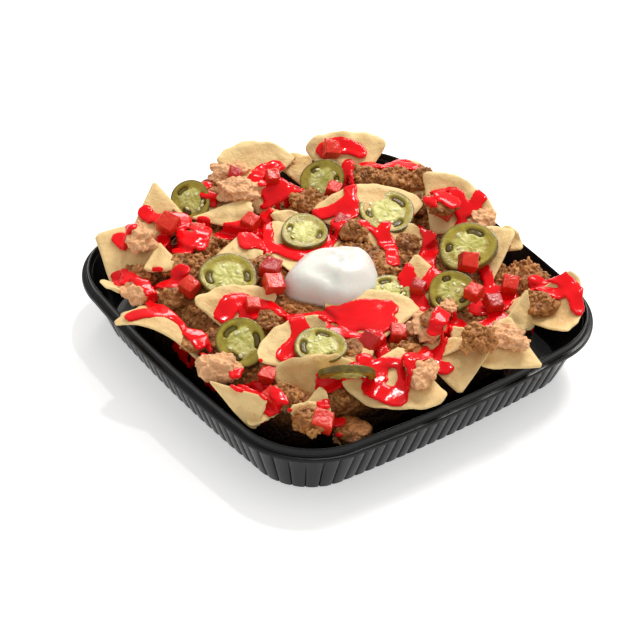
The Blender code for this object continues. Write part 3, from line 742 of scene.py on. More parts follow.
def pepper_material(settings):
    material, tree, shader = new_material(
        "pickled_pepper", Specular_IOR_Level=0.45, Subsurface_Weight=0.12, Subsurface_Scale=1.5 * MM
    )
    vector = object_coordinates(tree)
    mottled, _ = patches(tree, vector, 220.0, 0.40, 0.65)
    _, grain = patches(tree, vector, 700.0)
    flesh = [1.35 * value for value in settings.pepper_flesh]
    colour = mix_colours(tree, mottled, settings.pepper_flesh, flesh)
    seedy = mix_colours(tree, mottled, (0.45, 0.42, 0.07), (0.70, 0.66, 0.24))
    colour = mix_colours(tree, attribute(tree, "core"), colour, seedy)
    colour = mix_colours(tree, attribute(tree, "seed"), colour, (0.70, 0.66, 0.36))
    skin = mix_colours(tree, mottled, settings.pepper_skin, (0.19, 0.145, 0.014))
    colour = mix_colours(tree, attribute(tree, "skin"), colour, skin)
    # Painted shade: the open seed chambers are mixed to near black by how deep they are.
    colour = mix_colours(tree, attribute(tree, "pit"), colour, (0.075, 0.042, 0.008))
    roughness = spread(tree, attribute(tree, "core"), 0.22, 0.42)
    connect(tree, shader, colour, roughness, [(grain, 0.3 * MM)])
    return material


def tomato_material(settings):
    material, tree, shader = new_material(
        "tomato_flesh", Specular_IOR_Level=0.32, Subsurface_Weight=0.15, Subsurface_Scale=2.0 * MM
    )
    vector = object_coordinates(tree)
    streaks, _ = patches(tree, vector, 240.0, 0.45, 0.70, 1.2)
    _, grain = patches(tree, vector, 500.0)
    pale = (0.74, 0.075, 0.022)
    colour = mix_colours(tree, maths(tree, "MULTIPLY", streaks, 0.55), settings.tomato, pale)
    colour = mix_colours(tree, attribute(tree, "skin"), colour, (0.42, 0.010, 0.008))
    connect(tree, shader, colour, spread(tree, streaks, 0.16, 0.3), [(grain, 0.35 * MM)])
    return material


def cream_material(settings):
    material, tree, shader = new_material(
        "soured_cream", Specular_IOR_Level=0.3, Subsurface_Weight=0.35, Subsurface_Scale=5 * MM
    )
    vector = object_coordinates(tree)
    soft, _ = patches(tree, vector, 45.0, 0.35, 0.7)
    _, ripple = patches(tree, vector, 160.0)
    shade = [0.955 * value for value in settings.cream]
    colour = mix_colours(tree, soft, settings.cream, shade)
    connect(tree, shader, colour, spread(tree, soft, 0.26, 0.38), [(ripple, 0.35 * MM)])
    return material


def sauce_material(settings):
    material, tree, shader = new_material("red_sauce", Specular_IOR_Level=0.17)
    vector = object_coordinates(tree)
    deep, _ = patches(tree, vector, 70.0, 0.48, 0.74)
    _, pulp = patches(tree, vector, 260.0)
    dark = (0.74 * settings.red[0], settings.red[1], settings.red[2])
    colour = mix_colours(tree, deep, settings.red, dark)
    connect(tree, shader, colour, spread(tree, deep, 0.1, 0.16), [(pulp, 0.12 * MM)])
    return material


# Tray -------------------------------------------------------------------------

# Rim and inside, from the skirt over the lip down to the floor: how far inside the
# rim's outermost line, and the height, in mm.
TRAY_INSETS = [
    (1.1, 31.0),
    (0.9, 30.2),
    (0.0, 30.2),
    (0.2, 31.7),
    (0.6, 32.3),
    (2.4, 32.3),
    (2.95, 32.8),
    (3.4, 36.0),
    (4.0, 36.6),
    (4.6, 35.8),
    (5.6, 33.0),
    (6.1, 32.6),
    (17.0, 2.8),
    (18.3, 1.5),
]
RIM_BOW = 3.2 * MM
BASE_BOW = 2.4 * MM
RIM_CORNER = 46.9 * MM
BASE_CORNER = 31.0 * MM
LEDGE_CORNER = 41.0 * MM
WALL_DRAFT = (220.2 - 195.4) / (35.8 - 2.8)
TRAY_STEPS = 24


def rounded_square(side, corner, bow, steps):
    """Points round a square with round corners and bowed sides, counter-clockwise."""
    centre = side / 2 - corner
    points = []
    for quarter in range(4):
        turn = Matrix.Rotation(quarter * math.pi / 2, 2)
        for step in range(steps):
            angle = (step / steps) * math.pi / 2
            spoke = Vector((math.cos(angle), math.sin(angle)))
            points.append(turn @ (Vector((centre, centre)) + spoke * corner))
        for step in range(steps):
            along = 1 - 2 * step / steps
            off = side / 2 + bow * (1 - along * along)
            points.append(turn @ Vector((along * centre, off)))
    return points


def tray_outline(side, rim_side):
    """The tray's outline where its straight sides are the given distance apart."""
    base_side = rim_side - 2 * 16.7 * MM
    flare = (side - base_side) / (rim_side - base_side)
    bow = BASE_BOW + (RIM_BOW - BASE_BOW) * flare
    corner = BASE_CORNER + (RIM_CORNER - BASE_CORNER) * flare
    return rounded_square(side, corner, bow, TRAY_STEPS)


def make_tray_shell(settings):
    bm = bmesh.new()
    rim_side = TRAY_HIGH.x - TRAY_LOW.x - 2 * RIM_BOW
    base = settings.base_side
    ledge = base + WALL_DRAFT * settings.ledge_height
    loops = [
        add_loop(bm, rounded_square(base - 12 * MM, BASE_CORNER - 6 * MM, BASE_BOW, TRAY_STEPS), 0.8 * MM),
        add_loop(bm, rounded_square(base - 9 * MM, BASE_CORNER - 4.5 * MM, BASE_BOW, TRAY_STEPS), 0.0),
        add_loop(bm, rounded_square(base, BASE_CORNER, BASE_BOW, TRAY_STEPS), 0.0),
        add_loop(bm, rounded_square(ledge, LEDGE_CORNER, RIM_BOW, TRAY_STEPS), settings.ledge_height),
    ]
    for inset, height in TRAY_INSETS:
        loops.append(add_loop(bm, tray_outline(rim_side - 2 * inset * MM, rim_side), height * MM))
    for lower, upper in zip(loops, loops[1:]):
        join_loops(bm, lower, upper)
    bm.faces.new(loops[0])
    bm.faces.new(loops[-1])
    return mesh_from_bmesh(bm, "tray_shell")


RIB_ARC_STEPS = 8
RIB_RISE_STEPS = 5
RIB_BACK = -0.6 * MM


def make_rib(name, foot_width, head_width, settings):
    """One upright rib: a half round column that leans out with the wall."""
    bm = bmesh.new()
    lean = WALL_DRAFT / 2
    loops = []
    for rise in range(RIB_RISE_STEPS + 1):
        part = rise / RIB_RISE_STEPS
        height = part * settings.ledge_height
        width = foot_width + (head_width - foot_width) * part
        swell = 1.0 if rise else 0.82
        loop = []
        for step in range(RIB_ARC_STEPS + 1):
            angle = math.pi * step / RIB_ARC_STEPS
            out = lean * height + settings.rib_depth * swell * math.sin(angle) ** 0.6
            loop.append(bm.verts.new((out, -width / 2 * math.cos(angle), height)))
        back = lean * height + RIB_BACK
        loop.append(bm.verts.new((back, width / 2, height)))
        loop.append(bm.verts.new((back, -width / 2, height)))
        loops.append(loop)
    for lower, upper in zip(loops, loops[1:]):
        join_loops(bm, lower, upper)
    bm.faces.new(loops[0])
    bm.faces.new(loops[-1])
    mesh = mesh_from_bmesh(bm, name)
    mesh.set_sharp_from_angle(angle=math.radians(50))
    rib = bpy.data.objects.new(name, mesh)
    return rib


def rib_tree():
    """Geometry Nodes: stands one rib on each of the evenly spaced points of a line."""
    tree = bpy.data.node_groups.new("Ribs along a line", "GeometryNodeTree")
    sockets = tree.interface
    sockets.new_socket("Geometry", in_out="INPUT", socket_type="NodeSocketGeometry")
    sockets.new_socket("Rib", in_out="INPUT", socket_type="NodeSocketObject")
    sockets.new_socket("Ribs", in_out="INPUT", socket_type="NodeSocketInt")
    sockets.new_socket("Material", in_out="INPUT", socket_type="NodeSocketMaterial")
    sockets.new_socket("Geometry", in_out="OUTPUT", socket_type="NodeSocketGeometry")
    entry = add_node(tree, "NodeGroupInput")
    points = add_node(tree, "GeometryNodeCurveToPoints", {
        "Curve": entry.outputs["Geometry"], "Count": entry.outputs["Ribs"],
    }, mode="COUNT")
    outward = add_node(tree, "ShaderNodeVectorMath", operation="CROSS_PRODUCT")
    tree.links.new(points.outputs["Tangent"], outward.inputs[0])
    outward.inputs[1].default_value = (0.0, 0.0, 1.0)
    turned = add_node(tree, "FunctionNodeAlignRotationToVector", {
        "Vector": outward.outputs[0],
    }, axis="X", pivot_axis="Z")
    rib = add_node(tree, "GeometryNodeObjectInfo", {"Object": entry.outputs["Rib"]})
    instances = add_node(tree, "GeometryNodeInstanceOnPoints", {
        "Points": points.outputs["Points"],
        "Instance": rib.outputs["Geometry"],
        "Rotation": turned.outputs["Rotation"],
    })
    real = add_node(tree, "GeometryNodeRealizeInstances", {"Geometry": instances.outputs["Instances"]})
    dressed = add_node(tree, "GeometryNodeSetMaterial", {
        "Geometry": real.outputs["Geometry"], "Material": entry.outputs["Material"],
    })
    leave = add_node(tree, "NodeGroupOutput")
    tree.links.new(dressed.outputs["Geometry"], leave.inputs["Geometry"])
    return tree


def set_inputs(modifier, values):
    """Set a Geometry Nodes modifier's inputs by the names of its tree's sockets."""
    for item in modifier.node_group.interface.items_tree:
        if item.item_type == "SOCKET" and item.in_out == "INPUT" and item.name in values:
            modifier[item.identifier] = values[item.name]


def line_object(name, lines):
    """A curve object of straight-segment splines, each a list of points."""
    curve = bpy.data.curves.new(name, "CURVE")
    curve.dimensions = "3D"
    for points in lines:
        spline = curve.splines.new("POLY")
        spline.points.add(len(points) - 1)
        for spot, point in zip(spline.points, points):
            spot.co = (point.x, point.y, 0.0, 1.0)
    return link_object(name, curve)


def side_lines(side, corner, bow, ribs):
    """The four straight walls' feet, from the first rib's middle to the last one's."""
    centre = side / 2 - corner
    lines = []
    for quarter in range(4):
        turn = Matrix.Rotation(quarter * math.pi / 2, 2)
        line = []
        for rib in range(ribs):
            along = 1 - (2 * rib + 1) / ribs
            off = side / 2 + bow * (1 - along * along)
            line.append(turn @ Vector((along * centre, off)))
        lines.append(line)
    return lines


def corner_lines(side, corner, ribs):
    centre = side / 2 - corner
    lines = []
    for quarter in range(4):
        turn = Matrix.Rotation(quarter * math.pi / 2, 2)
        line = []
        for step in range(4 * (ribs - 1) + 1):
            angle = (step / 4 + 0.5) / ribs * math.pi / 2
            spoke = Vector((math.cos(angle), math.sin(angle)))
            line.append(turn @ (Vector((centre, centre)) + spoke * corner))
        lines.append(line)
    return lines


def make_ribs(settings, material):
    """The ribs round the tray's wall as one mesh."""
    side, corner = settings.base_side, BASE_CORNER
    straight = side - 2 * corner
    side_pitch = straight / settings.ribs_per_side
    corner_pitch = corner * math.pi / 2 / settings.ribs_per_corner
    spread_out = LEDGE_CORNER / BASE_CORNER
    tree = rib_tree()
    rows = [
        ("ribs_of_sides", side_lines(side, corner, BASE_BOW, settings.ribs_per_side),
         settings.ribs_per_side, make_rib("side_rib", side_pitch, side_pitch * 1.02, settings)),
        ("ribs_of_corners", corner_lines(side, corner, settings.ribs_per_corner),
         settings.ribs_per_corner, make_rib("corner_rib", corner_pitch, corner_pitch * spread_out, settings)),
    ]
    made = []
    for name, lines, count, rib in rows:
        line = line_object(name, lines)
        modifier = line.modifiers.new("ribs", "NODES")
        modifier.node_group = tree
        set_inputs(modifier, {"Rib": rib, "Ribs": count, "Material": material})
        made.append(bake_modifiers(line))
        bpy.data.objects.remove(rib)
    return made


class NACHOS_OT_tray(bpy.types.Operator):
    """Mould the black tray with its ribbed wall and stepped rim"""

    bl_idname = "nachos.tray"
    bl_label = "Tray"

    def execute(self, context):
        settings = context.scene.nachos.tray
        material = plastic_material(settings)
        shell = link_object("tray_shell", make_tray_shell(settings), material)
        bevel = shell.modifiers.new("soft_edges", "BEVEL")
        bevel.width = 0.25 * MM
        bevel.segments = 3
        bevel.limit_method = "ANGLE"
        bevel.angle_limit = math.radians(14)
        shell = bake_modifiers(shell)
        shell.data.shade_smooth()
        shell.data.set_sharp_from_angle(angle=math.radians(40))
        finish_piece(shell, ["tray"])
        for ribs in make_ribs(settings, material):
            finish_piece(ribs)
        return {"FINISHED"}


# Chips ------------------------------------------------------------------------

CHIP_PIVOT = 0.62
CHIP_ROWS = 30
CORNER_ROUND = 0.045
BLISTER_SIZE = 6 * MM
BLISTER_LEVEL = 0.12
BLISTER_RISE = 2.2
CHIP_WAVE = 0.7 * MM
CHIP_WAVE_LENGTH = 15 * MM
RIM_WAVE = 3.2 * MM
RIM_WAVE_LENGTH = 9 * MM
# How browned the listed chips are: partly real browning from frying longest, partly painted shade on the
# chips that lie in shade, such as the centre wave, the cup, the bowl and the overhang; the others are paler.
TOASTED = {
    "chip_centre_wave_fried": 1.0,
    "chip_front_cup_fried": 0.8,
    "chip_front_fold_fried": 0.55,
    "chip_right_bowl_fried": 0.6,
    "chip_centre_left_fried": 0.6,
    "chip_middle_right_fried": 0.8,
    "chip_upper_right_fried": 0.6,
    "chip_back_wave_fried": 0.7,
    "chip_left_overhang_fried": 0.45,
    "chip_right_fold_fried": 0.5,
    "chip_back_shell_fried": 0.5,
}


def bend_about(position, height, degrees, length):
    """Roll a flat strip of the given length into an arc of the given angle."""
    rate = math.radians(degrees) / length
    if abs(rate) < 1e-6:
        return position, height
    arm = 1 / rate - height
    return arm * math.sin(rate * position), 1 / rate - arm * math.cos(rate * position)


def chip_point(across, along, radius, sweep, curl, bend, ripple):
    """A point of the bent sector: along runs 0 to 1 from tip to arc, across -1 to 1."""
    half = math.radians(sweep) / 2
    x = radius * (along * math.cos(half * across) - CHIP_PIVOT)
    y = radius * along * math.sin(half * across)
    z = ripple * math.sin(4.5 * across + 1.0) * along
    width = 2 * radius * math.sin(half)
    y, z = bend_about(y, z, curl, width)
    x, z = bend_about(x, z, bend, radius)
    return Vector((x, y, z))


def corner_pull(row, column):
    """How much a point near one of the three corners is drawn in to round it."""
    shares = (1 - row / CHIP_ROWS, column / CHIP_ROWS, (row - column) / CHIP_ROWS)
    near = max(0.0, (max(shares) - 0.86) / 0.14)
    return CORNER_ROUND * near * near


def make_chip(name, form, place, seed, settings):
    """A closed chip: two skins with blisters that meet in a thin rounded rim."""
    radius, sweep, curl, bend, ripple = form
    radius *= MM
    shift = Vector((seed * 1.7, seed * 0.9, seed * 2.3))
    bm = bmesh.new()
    rows = []
    for row in range(CHIP_ROWS + 1):
        points = []
        for column in range(row + 1):
            across = 2 * column / row - 1 if row else 0.0
            along = row / CHIP_ROWS
            pull = corner_pull(row, column)
            along += pull * (1 if along < 0.5 else -1)
            across *= 1 - pull
            rough = 0.03 * noise.noise(Vector((across * 5, along * 4, seed * 5.1)))
            swell = 1 + rough
            point = chip_point(across * swell, along * swell, radius, sweep, curl, bend, ripple * MM)
            point.z += CHIP_WAVE * noise.noise(point / CHIP_WAVE_LENGTH + shift)
            edge = max(abs(across) * along, along) ** 4
            point.z += RIM_WAVE * edge * noise.noise(point / RIM_WAVE_LENGTH - shift)
            points.append(bm.verts.new(point))
        rows.append(points)
    bm.verts.index_update()
    for shorter, longer in zip(rows, rows[1:]):
        for column in range(len(shorter)):
            bm.faces.new((shorter[column], longer[column], longer[column + 1]))
            if column:
                bm.faces.new((shorter[column - 1], longer[column], shorter[column]))
    bmesh.ops.recalc_face_normals(bm, faces=bm.faces)
    if sum(face.normal.z for face in bm.faces) < 0:
        bmesh.ops.reverse_faces(bm, faces=bm.faces)
    bm.normal_update()

    rings = {}
    for row, points in enumerate(rows):
        for column, vert in enumerate(points):
            rings[vert] = min(column, row - column, CHIP_ROWS - row)
    sheet_faces = list(bm.faces)
    boundary = [edge for edge in bm.edges if edge.is_boundary]
    normals = {vert: vert.normal.copy() for vert in rings}
    lower = {}
    for vert, ring in list(rings.items()):
        half = settings.thickness / 2 * (0.3, 0.8, 1.0)[min(ring, 2)]
        centre = vert.co.copy()
        rise = settings.blister if ring > 1 else 0.0
        swell_up = max(0.0, noise.noise(centre / BLISTER_SIZE + shift) - BLISTER_LEVEL) * BLISTER_RISE
        swell_down = max(0.0, noise.noise(centre / BLISTER_SIZE - shift) - BLISTER_LEVEL) * BLISTER_RISE
        lower[vert] = bm.verts.new(centre - normals[vert] * (half + rise * swell_down))
        vert.co = centre + normals[vert] * (half + rise * swell_up)
    for face in sheet_faces:
        bm.faces.new([lower[vert] for vert in reversed(face.verts)])
    for edge in boundary:
        first, second = edge.verts
        bm.faces.new((first, second, lower[second], lower[first]))
    bm.verts.index_update()
    rim = [0.0] * len(bm.verts)
    for vert, ring in rings.items():
        value = (1.0, 0.75, 0.4, 0.15)[min(ring, 3)] if ring < 4 else 0.0
        rim[vert.index] = value
        rim[lower[vert].index] = value
    bmesh.ops.transform(bm, matrix=place, verts=bm.verts)
    mesh = mesh_from_bmesh(bm, name)
    write_attribute(mesh, "rim", rim)
    # The listed values include painted shade for chips that lie in shade; the others get a random real toast.
    toast = TOASTED.get(name, random.Random(300 + seed).uniform(0.0, 0.45))
    write_attribute(mesh, "toast", [toast] * len(mesh.vertices))
    return mesh


class NACHOS_OT_chips(bpy.types.Operator):
    """Fry the corn chips and tuck the broken bits between them"""

    bl_idname = "nachos.chips"
    bl_label = "Chips"

    def execute(self, context):
        settings = context.scene.nachos.chips
        material = chip_material(settings)
        for seed, row in enumerate(CHIPS):
            name, place, heading, tilt, bank, *form = row
            mesh = make_chip(name + "_fried", form, place_matrix(place, heading, tilt, bank), seed, settings)
            chip = link_object(name + "_fried", mesh, material)
            chip["food"] = True
            chip["poured_on"] = True
            finish_piece(chip, [name])
        for number, row in enumerate(SHARDS):
            place, heading, tilt, bank, *form = row
            name = f"chip_shard_{number + 1}"
            mesh = make_chip(name, form, place_matrix(place, heading, tilt, bank), 60 + number, settings)
            shard = link_object(name, mesh, material)
            shard["food"] = True
            shard["poured_on"] = True
            finish_piece(shard)
        return {"FINISHED"}


# Toppings ---------------------------------------------------------------------

BEAN_SUBDIVISIONS = 5
BEAN_LUMP = 2.7 * MM


def make_beans(name, seed, size, matrix):
    """A spoonful of coarse mash: a pushed-about ball covered with small lumps."""
    bm = bmesh.new()
    bmesh.ops.create_icosphere(bm, subdivisions=BEAN_SUBDIVISIONS, radius=0.5)
    for vert in bm.verts:
        vert.co *= 1 + 0.45 * noise.noise(vert.co * 3.4 + Vector((seed * 3.7, 0.0, 1.3)))
        vert.co = Vector([part * length * MM for part, length in zip(vert.co, size)])
    bm.normal_update()
    shifts = []
    for vert in bm.verts:
        spot = vert.co + Vector((seed * 0.03, 0.0, 0.0))
        push = 1.5 * MM * (lumpiness(spot, BEAN_LUMP) - 0.45)
        push += 1.0 * MM * noise.noise(spot / (4.5 * MM))
        push += 0.5 * MM * (lumpiness(spot, BEAN_LUMP / 2) - 0.45)
        shifts.append(vert.normal * push)
    for vert, shift in zip(bm.verts, shifts):
        vert.co += shift
    bmesh.ops.transform(bm, matrix=matrix, verts=bm.verts)
    return mesh_from_bmesh(bm, name)


class NACHOS_OT_beans(bpy.types.Operator):
    """Spoon the mashed beans over the chips"""

    bl_idname = "nachos.beans"
    bl_label = "Mashed beans"

    def execute(self, context):
        material = bean_material(context.scene.nachos.toppings)
        surface = food_surface()
        for seed, row in enumerate(BEANS):
            name, place, length, width, height, heading = row
            matrix = place_matrix(place, heading, 0, 0)
            mesh = make_beans(name + "_mash", seed, (length, width, height), matrix)
            clump = link_object(name + "_mash", mesh, material)
            clump["food"] = True
            clump["poured_on"] = True
            finish_piece(clump, [name])
        for number, row in enumerate(BEAN_BITS):
            (x, y), length, width, height, heading = row
            place = landing(surface, x, y)[0] / MM + Vector((0, 0, height * 0.15))
            name = f"beans_bit_{number + 1}"
            matrix = place_matrix(place, heading, 0, 0)
            mesh = make_beans(name, 20 + number, (length, width, height), matrix)
            clump = link_object(name, mesh, material)
            clump["food"] = True
            clump["poured_on"] = True
            finish_piece(clump)
        return {"FINISHED"}


PEPPER_SEGMENTS = 84
# Top profile of a slice: part of the radius, height as a part of half the thickness.
PEPPER_PROFILE = [
    (1.0, 0.0), (1.0, 0.5), (0.994, 0.84), (0.978, 0.96), (0.945, 1.0), (0.90, 0.99), (0.85, 0.96),
    (0.80, 0.90), (0.75, 0.83), (0.70, 0.77), (0.64, 0.73), (0.57, 0.71), (0.50, 0.72), (0.43, 0.74),
    (0.36, 0.75), (0.28, 0.76), (0.20, 0.78), (0.12, 0.80),
]
PIT_INNER, PIT_OUTER = 0.50, 0.78


def pepper_pits(rng):
    """The seed chambers of a slice: middle angle, half width and how open it is."""
    count = rng.choice((2, 3, 3))
    start = rng.uniform(0, math.tau)
    pits = []
    for number in range(count):
        middle = start + number * math.tau / count + rng.uniform(-0.25, 0.25)
        pits.append((middle, rng.uniform(0.28, 0.62), rng.uniform(0.6, 1.0)))
    return pits


def pit_depth(pits, angle, reach):
    """0 on the flesh, up to 1 inside an open seed chamber."""
    depth = 0.0
    for middle, half_width, openness in pits:
        away = abs((angle - middle + math.pi) % math.tau - math.pi) / half_width
        across = abs(reach - (PIT_INNER + PIT_OUTER) / 2) / ((PIT_OUTER - PIT_INNER) / 2)
        inside = 1 - away * away - across ** 4
        depth = max(depth, openness * min(1.0, max(0.0, inside * 2.2)))
    return depth


def make_pepper(name, radius, thickness, seed, matrix):
    """A slice of pickled pepper: skin, flesh ring, seed chambers and a seedy core."""
    radius *= MM
    half = thickness * MM / 2
    lobes_rng = random.Random(seed)
    phase_two = lobes_rng.uniform(0, math.tau)
    phase_three = lobes_rng.uniform(0, math.tau)
    rng = random.Random(500 + seed)
    pits = pepper_pits(rng)
    bm = bmesh.new()
    layers = {mark: bm.verts.layers.float.new(mark) for mark in ("skin", "core", "pit", "seed")}
    sides = []
    for side in (1, -1):
        loops = []
        for station, (reach, rise) in enumerate(PEPPER_PROFILE):
            if side < 0 and station == 0:
                loops.append(sides[0][0])
                continue
            loop = []
            for step in range(PEPPER_SEGMENTS):
                angle = math.tau * step / PEPPER_SEGMENTS
                lobes = 1 + 0.04 * math.cos(2 * angle + phase_two) + 0.03 * math.cos(3 * angle + phase_three)
                depth = pit_depth(pits, angle, reach)
                rough = noise.noise(Vector((math.cos(angle) * reach * 4, math.sin(angle) * reach * 4, seed)))
                core = min(1.0, max(0.0, (0.60 - reach + 0.10 * rough) / 0.06))
                height = half * rise - depth * half * 1.5
                fine = Vector((math.cos(angle) * reach, math.sin(angle) * reach, 0.1 * seed)) * 11
                height += core * (0.35 * MM + 0.55 * MM * noise.noise(fine))
                out = radius * reach * lobes
                vert = bm.verts.new((out * math.cos(angle), out * math.sin(angle), side * height))
                vert[layers["skin"]] = min(1.0, max(0.0, (reach - 0.90) / 0.07))
                vert[layers["core"]] = core
                # The chamber depth is kept to paint the shade inside the chamber.
                vert[layers["pit"]] = depth
                loop.append(vert)
            loops.append(loop)
        for outer, inner in zip(loops, loops[1:]):
            join_loops(bm, outer, inner)
        middle = bm.verts.new((0.0, 0.0, side * half * 0.85))
        middle[layers["core"]] = 1.0
        for index in range(PEPPER_SEGMENTS):
            bm.faces.new((loops[-1][index - 1], loops[-1][index], middle))
        sides.append(loops)
    add_seeds(bm, rng, radius, half, layers["seed"])
    bmesh.ops.transform(bm, matrix=matrix, verts=bm.verts)
    return mesh_from_bmesh(bm, name)


def add_seeds(bm, rng, radius, half, layer):
    """Flat pale seeds round the core, on both faces of the slice."""
    flesh_count = len(bm.verts)
    for _ in range(rng.randint(7, 12)):
        angle = rng.uniform(0, math.tau)
        reach = radius * rng.uniform(0.25, 0.66)
        side = rng.choice((1, 1, -1))
        place = Vector((reach * math.cos(angle), reach * math.sin(angle), side * half * 0.95))
        spin = Matrix.Rotation(rng.uniform(0, math.tau), 4, "Z")
        turn = spin @ Matrix.Rotation(rng.uniform(-0.6, 0.6), 4, "X")
        shape = Matrix.Diagonal((*[part * MM * rng.uniform(0.85, 1.15) for part in (1.35, 0.95, 0.42)], 1.0))
        matrix = Matrix.Translation(place) @ turn @ shape
        bmesh.ops.create_icosphere(bm, subdivisions=2, radius=1.0, matrix=matrix)
    bm.verts.ensure_lookup_table()
    for vert in bm.verts[flesh_count:]:
        vert[layer] = 1.0


class NACHOS_OT_peppers(bpy.types.Operator):
    """Lay the pickled pepper slices"""

    bl_idname = "nachos.peppers"
    bl_label = "Pickled peppers"

    def execute(self, context):
        material = pepper_material(context.scene.nachos.toppings)
        for seed, row in enumerate(PEPPERS):
            name, place, facing, lean, radius, thickness = row
            matrix = place_matrix(place, facing, -lean, 0)
            mesh = make_pepper(name + "_slice", radius, thickness, seed, matrix)
            pepper = link_object(name + "_slice", mesh, material)
            pepper["food"] = True
            finish_piece(pepper, [name])
        return {"FINISHED"}


def make_dice(name, edge, rng, matrix):
    """A knife-cut dice with uneven corners, soft edges and skin on one side."""
    bm = bmesh.new()
    bmesh.ops.create_cube(bm, size=edge * MM)
    for vert in bm.verts:
        vert.co *= rng.uniform(0.86, 1.08)
        vert.co.z *= 0.82
    bmesh.ops.bevel(bm, geom=bm.edges[:], offset=0.9 * MM, segments=3, profile=0.6, affect="EDGES")
    bmesh.ops.triangulate(bm, faces=bm.faces)
    bmesh.ops.subdivide_edges(bm, edges=bm.edges[:], cuts=2, use_grid_fill=True)
    bm.normal_update()
    side = rng.choice((Vector((1, 0, 0)), Vector((0, 1, 0)), Vector((0, 0, 1)), Vector((0, 0, -1))))
    skin = []
    seed = Vector((rng.uniform(0, 50), 0, 0))
    for vert in bm.verts:
        facing = vert.normal.dot(side)
        skin.append(min(1.0, max(0.0, (facing - 0.5) / 0.3)))
    for vert in bm.verts:
        vert.co += vert.normal * 0.5 * MM * noise.noise(vert.co / (2.8 * MM) + seed)
    bmesh.ops.transform(bm, matrix=matrix, verts=bm.verts)
    mesh = mesh_from_bmesh(bm, name)
    write_attribute(mesh, "skin", skin)
    return mesh


class NACHOS_OT_tomatoes(bpy.types.Operator):
    """Scatter the tomato dice"""

    bl_idname = "nachos.tomatoes"
    bl_label = "Tomato dice"

    def execute(self, context):
        material = tomato_material(context.scene.nachos.toppings)
        surface = food_surface()
        rows = [(name, place, heading, lean, edge) for name, place, heading, lean, edge in TOMATOES]
        for number, ((x, y), heading, lean, edge) in enumerate(TOMATO_BITS):
            place = landing(surface, x, y)[0] / MM + Vector((0, 0, 0.32 * edge))
            rows.append((f"tomato_bit_{number + 1}", place, heading, lean, edge))
        for seed, (name, place, heading, lean, edge) in enumerate(rows):
            has_solid = seed < len(TOMATOES)
            made_name = name + "_dice" if has_solid else name
            matrix = place_matrix(place, heading, lean, lean / 2)
            mesh = make_dice(made_name, edge, random.Random(100 + seed), matrix)
            dice = link_object(made_name, mesh, material)
            dice["food"] = True
            finish_piece(dice, [name] if has_solid else [])
        return {"FINISHED"}


CREAM_SEGMENTS = 120
CREAM_RINGS = 44
CREAM_TAIL = 6.0 * MM
CREAM_TAIL_HEADING = math.radians(172)
CREAM_PLACE = Vector((-4, -5, 46)) * MM
CREAM_RADIUS = 24.5 * MM
CREAM_UNDER_TOP = 2.6 * MM


def cream_height(angle, inward, full):
    """The dollop's height: a dome with the fold that the spoon left across it."""
    height = full * (1 - (1 - inward) ** 2.6) ** 0.55
    height += 0.9 * MM * math.sin(2 * angle + 9 * inward) * inward * (1 - inward) * 4
    x = (1 - inward) * math.cos(angle)
    y = (1 - inward) * math.sin(angle)
    crease = x * 0.55 - y * 0.8 - 0.18 - 0.25 * y * y
    fold = math.exp(-(crease / 0.10) ** 2) - 0.8 * math.exp(-((crease + 0.16) / 0.12) ** 2)
    height += 0.8 * MM * fold * min(1.0, inward * 3.0)
    return height


def make_cream():
    full = CREAM_HIGH.z - CREAM_PLACE.z - CREAM_UNDER_TOP
    bm = bmesh.new()
    loops = []
    for ring in range(CREAM_RINGS):
        inward = ring / CREAM_RINGS
        loop = []
        for step in range(CREAM_SEGMENTS):
            angle = math.tau * step / CREAM_SEGMENTS
            wave = 1 + 0.05 * math.sin(3 * angle + 0.6) + 0.03 * math.sin(5 * angle)
            tail = CREAM_TAIL * max(0.0, math.cos(angle - CREAM_TAIL_HEADING)) ** 8
            out = (CREAM_RADIUS * wave + tail) * (1 - inward)
            point = Vector((out * math.cos(angle), out * math.sin(angle), 0.0))
            point.z = cream_height(angle, inward, full)
            loop.append(bm.verts.new(CREAM_PLACE + point))
        loops.append(loop)
    under = [bm.verts.new(vert.co - Vector((0, 0, 4 * MM))) for vert in loops[0]]
    join_loops(bm, under, loops[0])
    for lower, upper in zip(loops, loops[1:]):
        join_loops(bm, lower, upper)
    peak = bm.verts.new(CREAM_PLACE + Vector((0, 0, cream_height(0.0, 1.0, full))))
    for index in range(CREAM_SEGMENTS):
        bm.faces.new((loops[-1][index - 1], loops[-1][index], peak))
    bm.faces.new(under)
    return mesh_from_bmesh(bm, "sour_cream_dollop")


class NACHOS_OT_cream(bpy.types.Operator):
    """Spoon the soured cream into the middle"""

    bl_idname = "nachos.cream"
    bl_label = "Soured cream"

    def execute(self, context):
        material = cream_material(context.scene.nachos.toppings)
        dollop = link_object("sour_cream_dollop", make_cream(), material)
        smooth = dollop.modifiers.new("settle", "SMOOTH")
        smooth.factor = 0.5
        smooth.iterations = 6
        dollop = bake_modifiers(dollop)
        dollop["food"] = True
        finish_piece(dollop, ["sour_cream"])
        return {"FINISHED"}


# Beef -------------------------------------------------------------------------

CORE_VOXEL = 2.0 * MM
CORE_LUMP = 3.4 * MM
CORE_RELIEF = 1.5 * MM
SKY_RISES = (35, 65)
SKY_TURNS = 8
SKY_REACH = 0.08
SKY_START = 1.2 * MM
CRUMB_KINDS = 6
CORE_TONE = 0.25
# The heap's flank stands back from the wall at the right-hand side.
FLANK_TOP, FLANK_FALL = 37 * MM, 10 * MM
FLANK_START, FLANK_REACH = 62 * MM, 25 * MM
FLANK_GAP = 7 * MM
CRUMB_FLOOR = 25 * MM


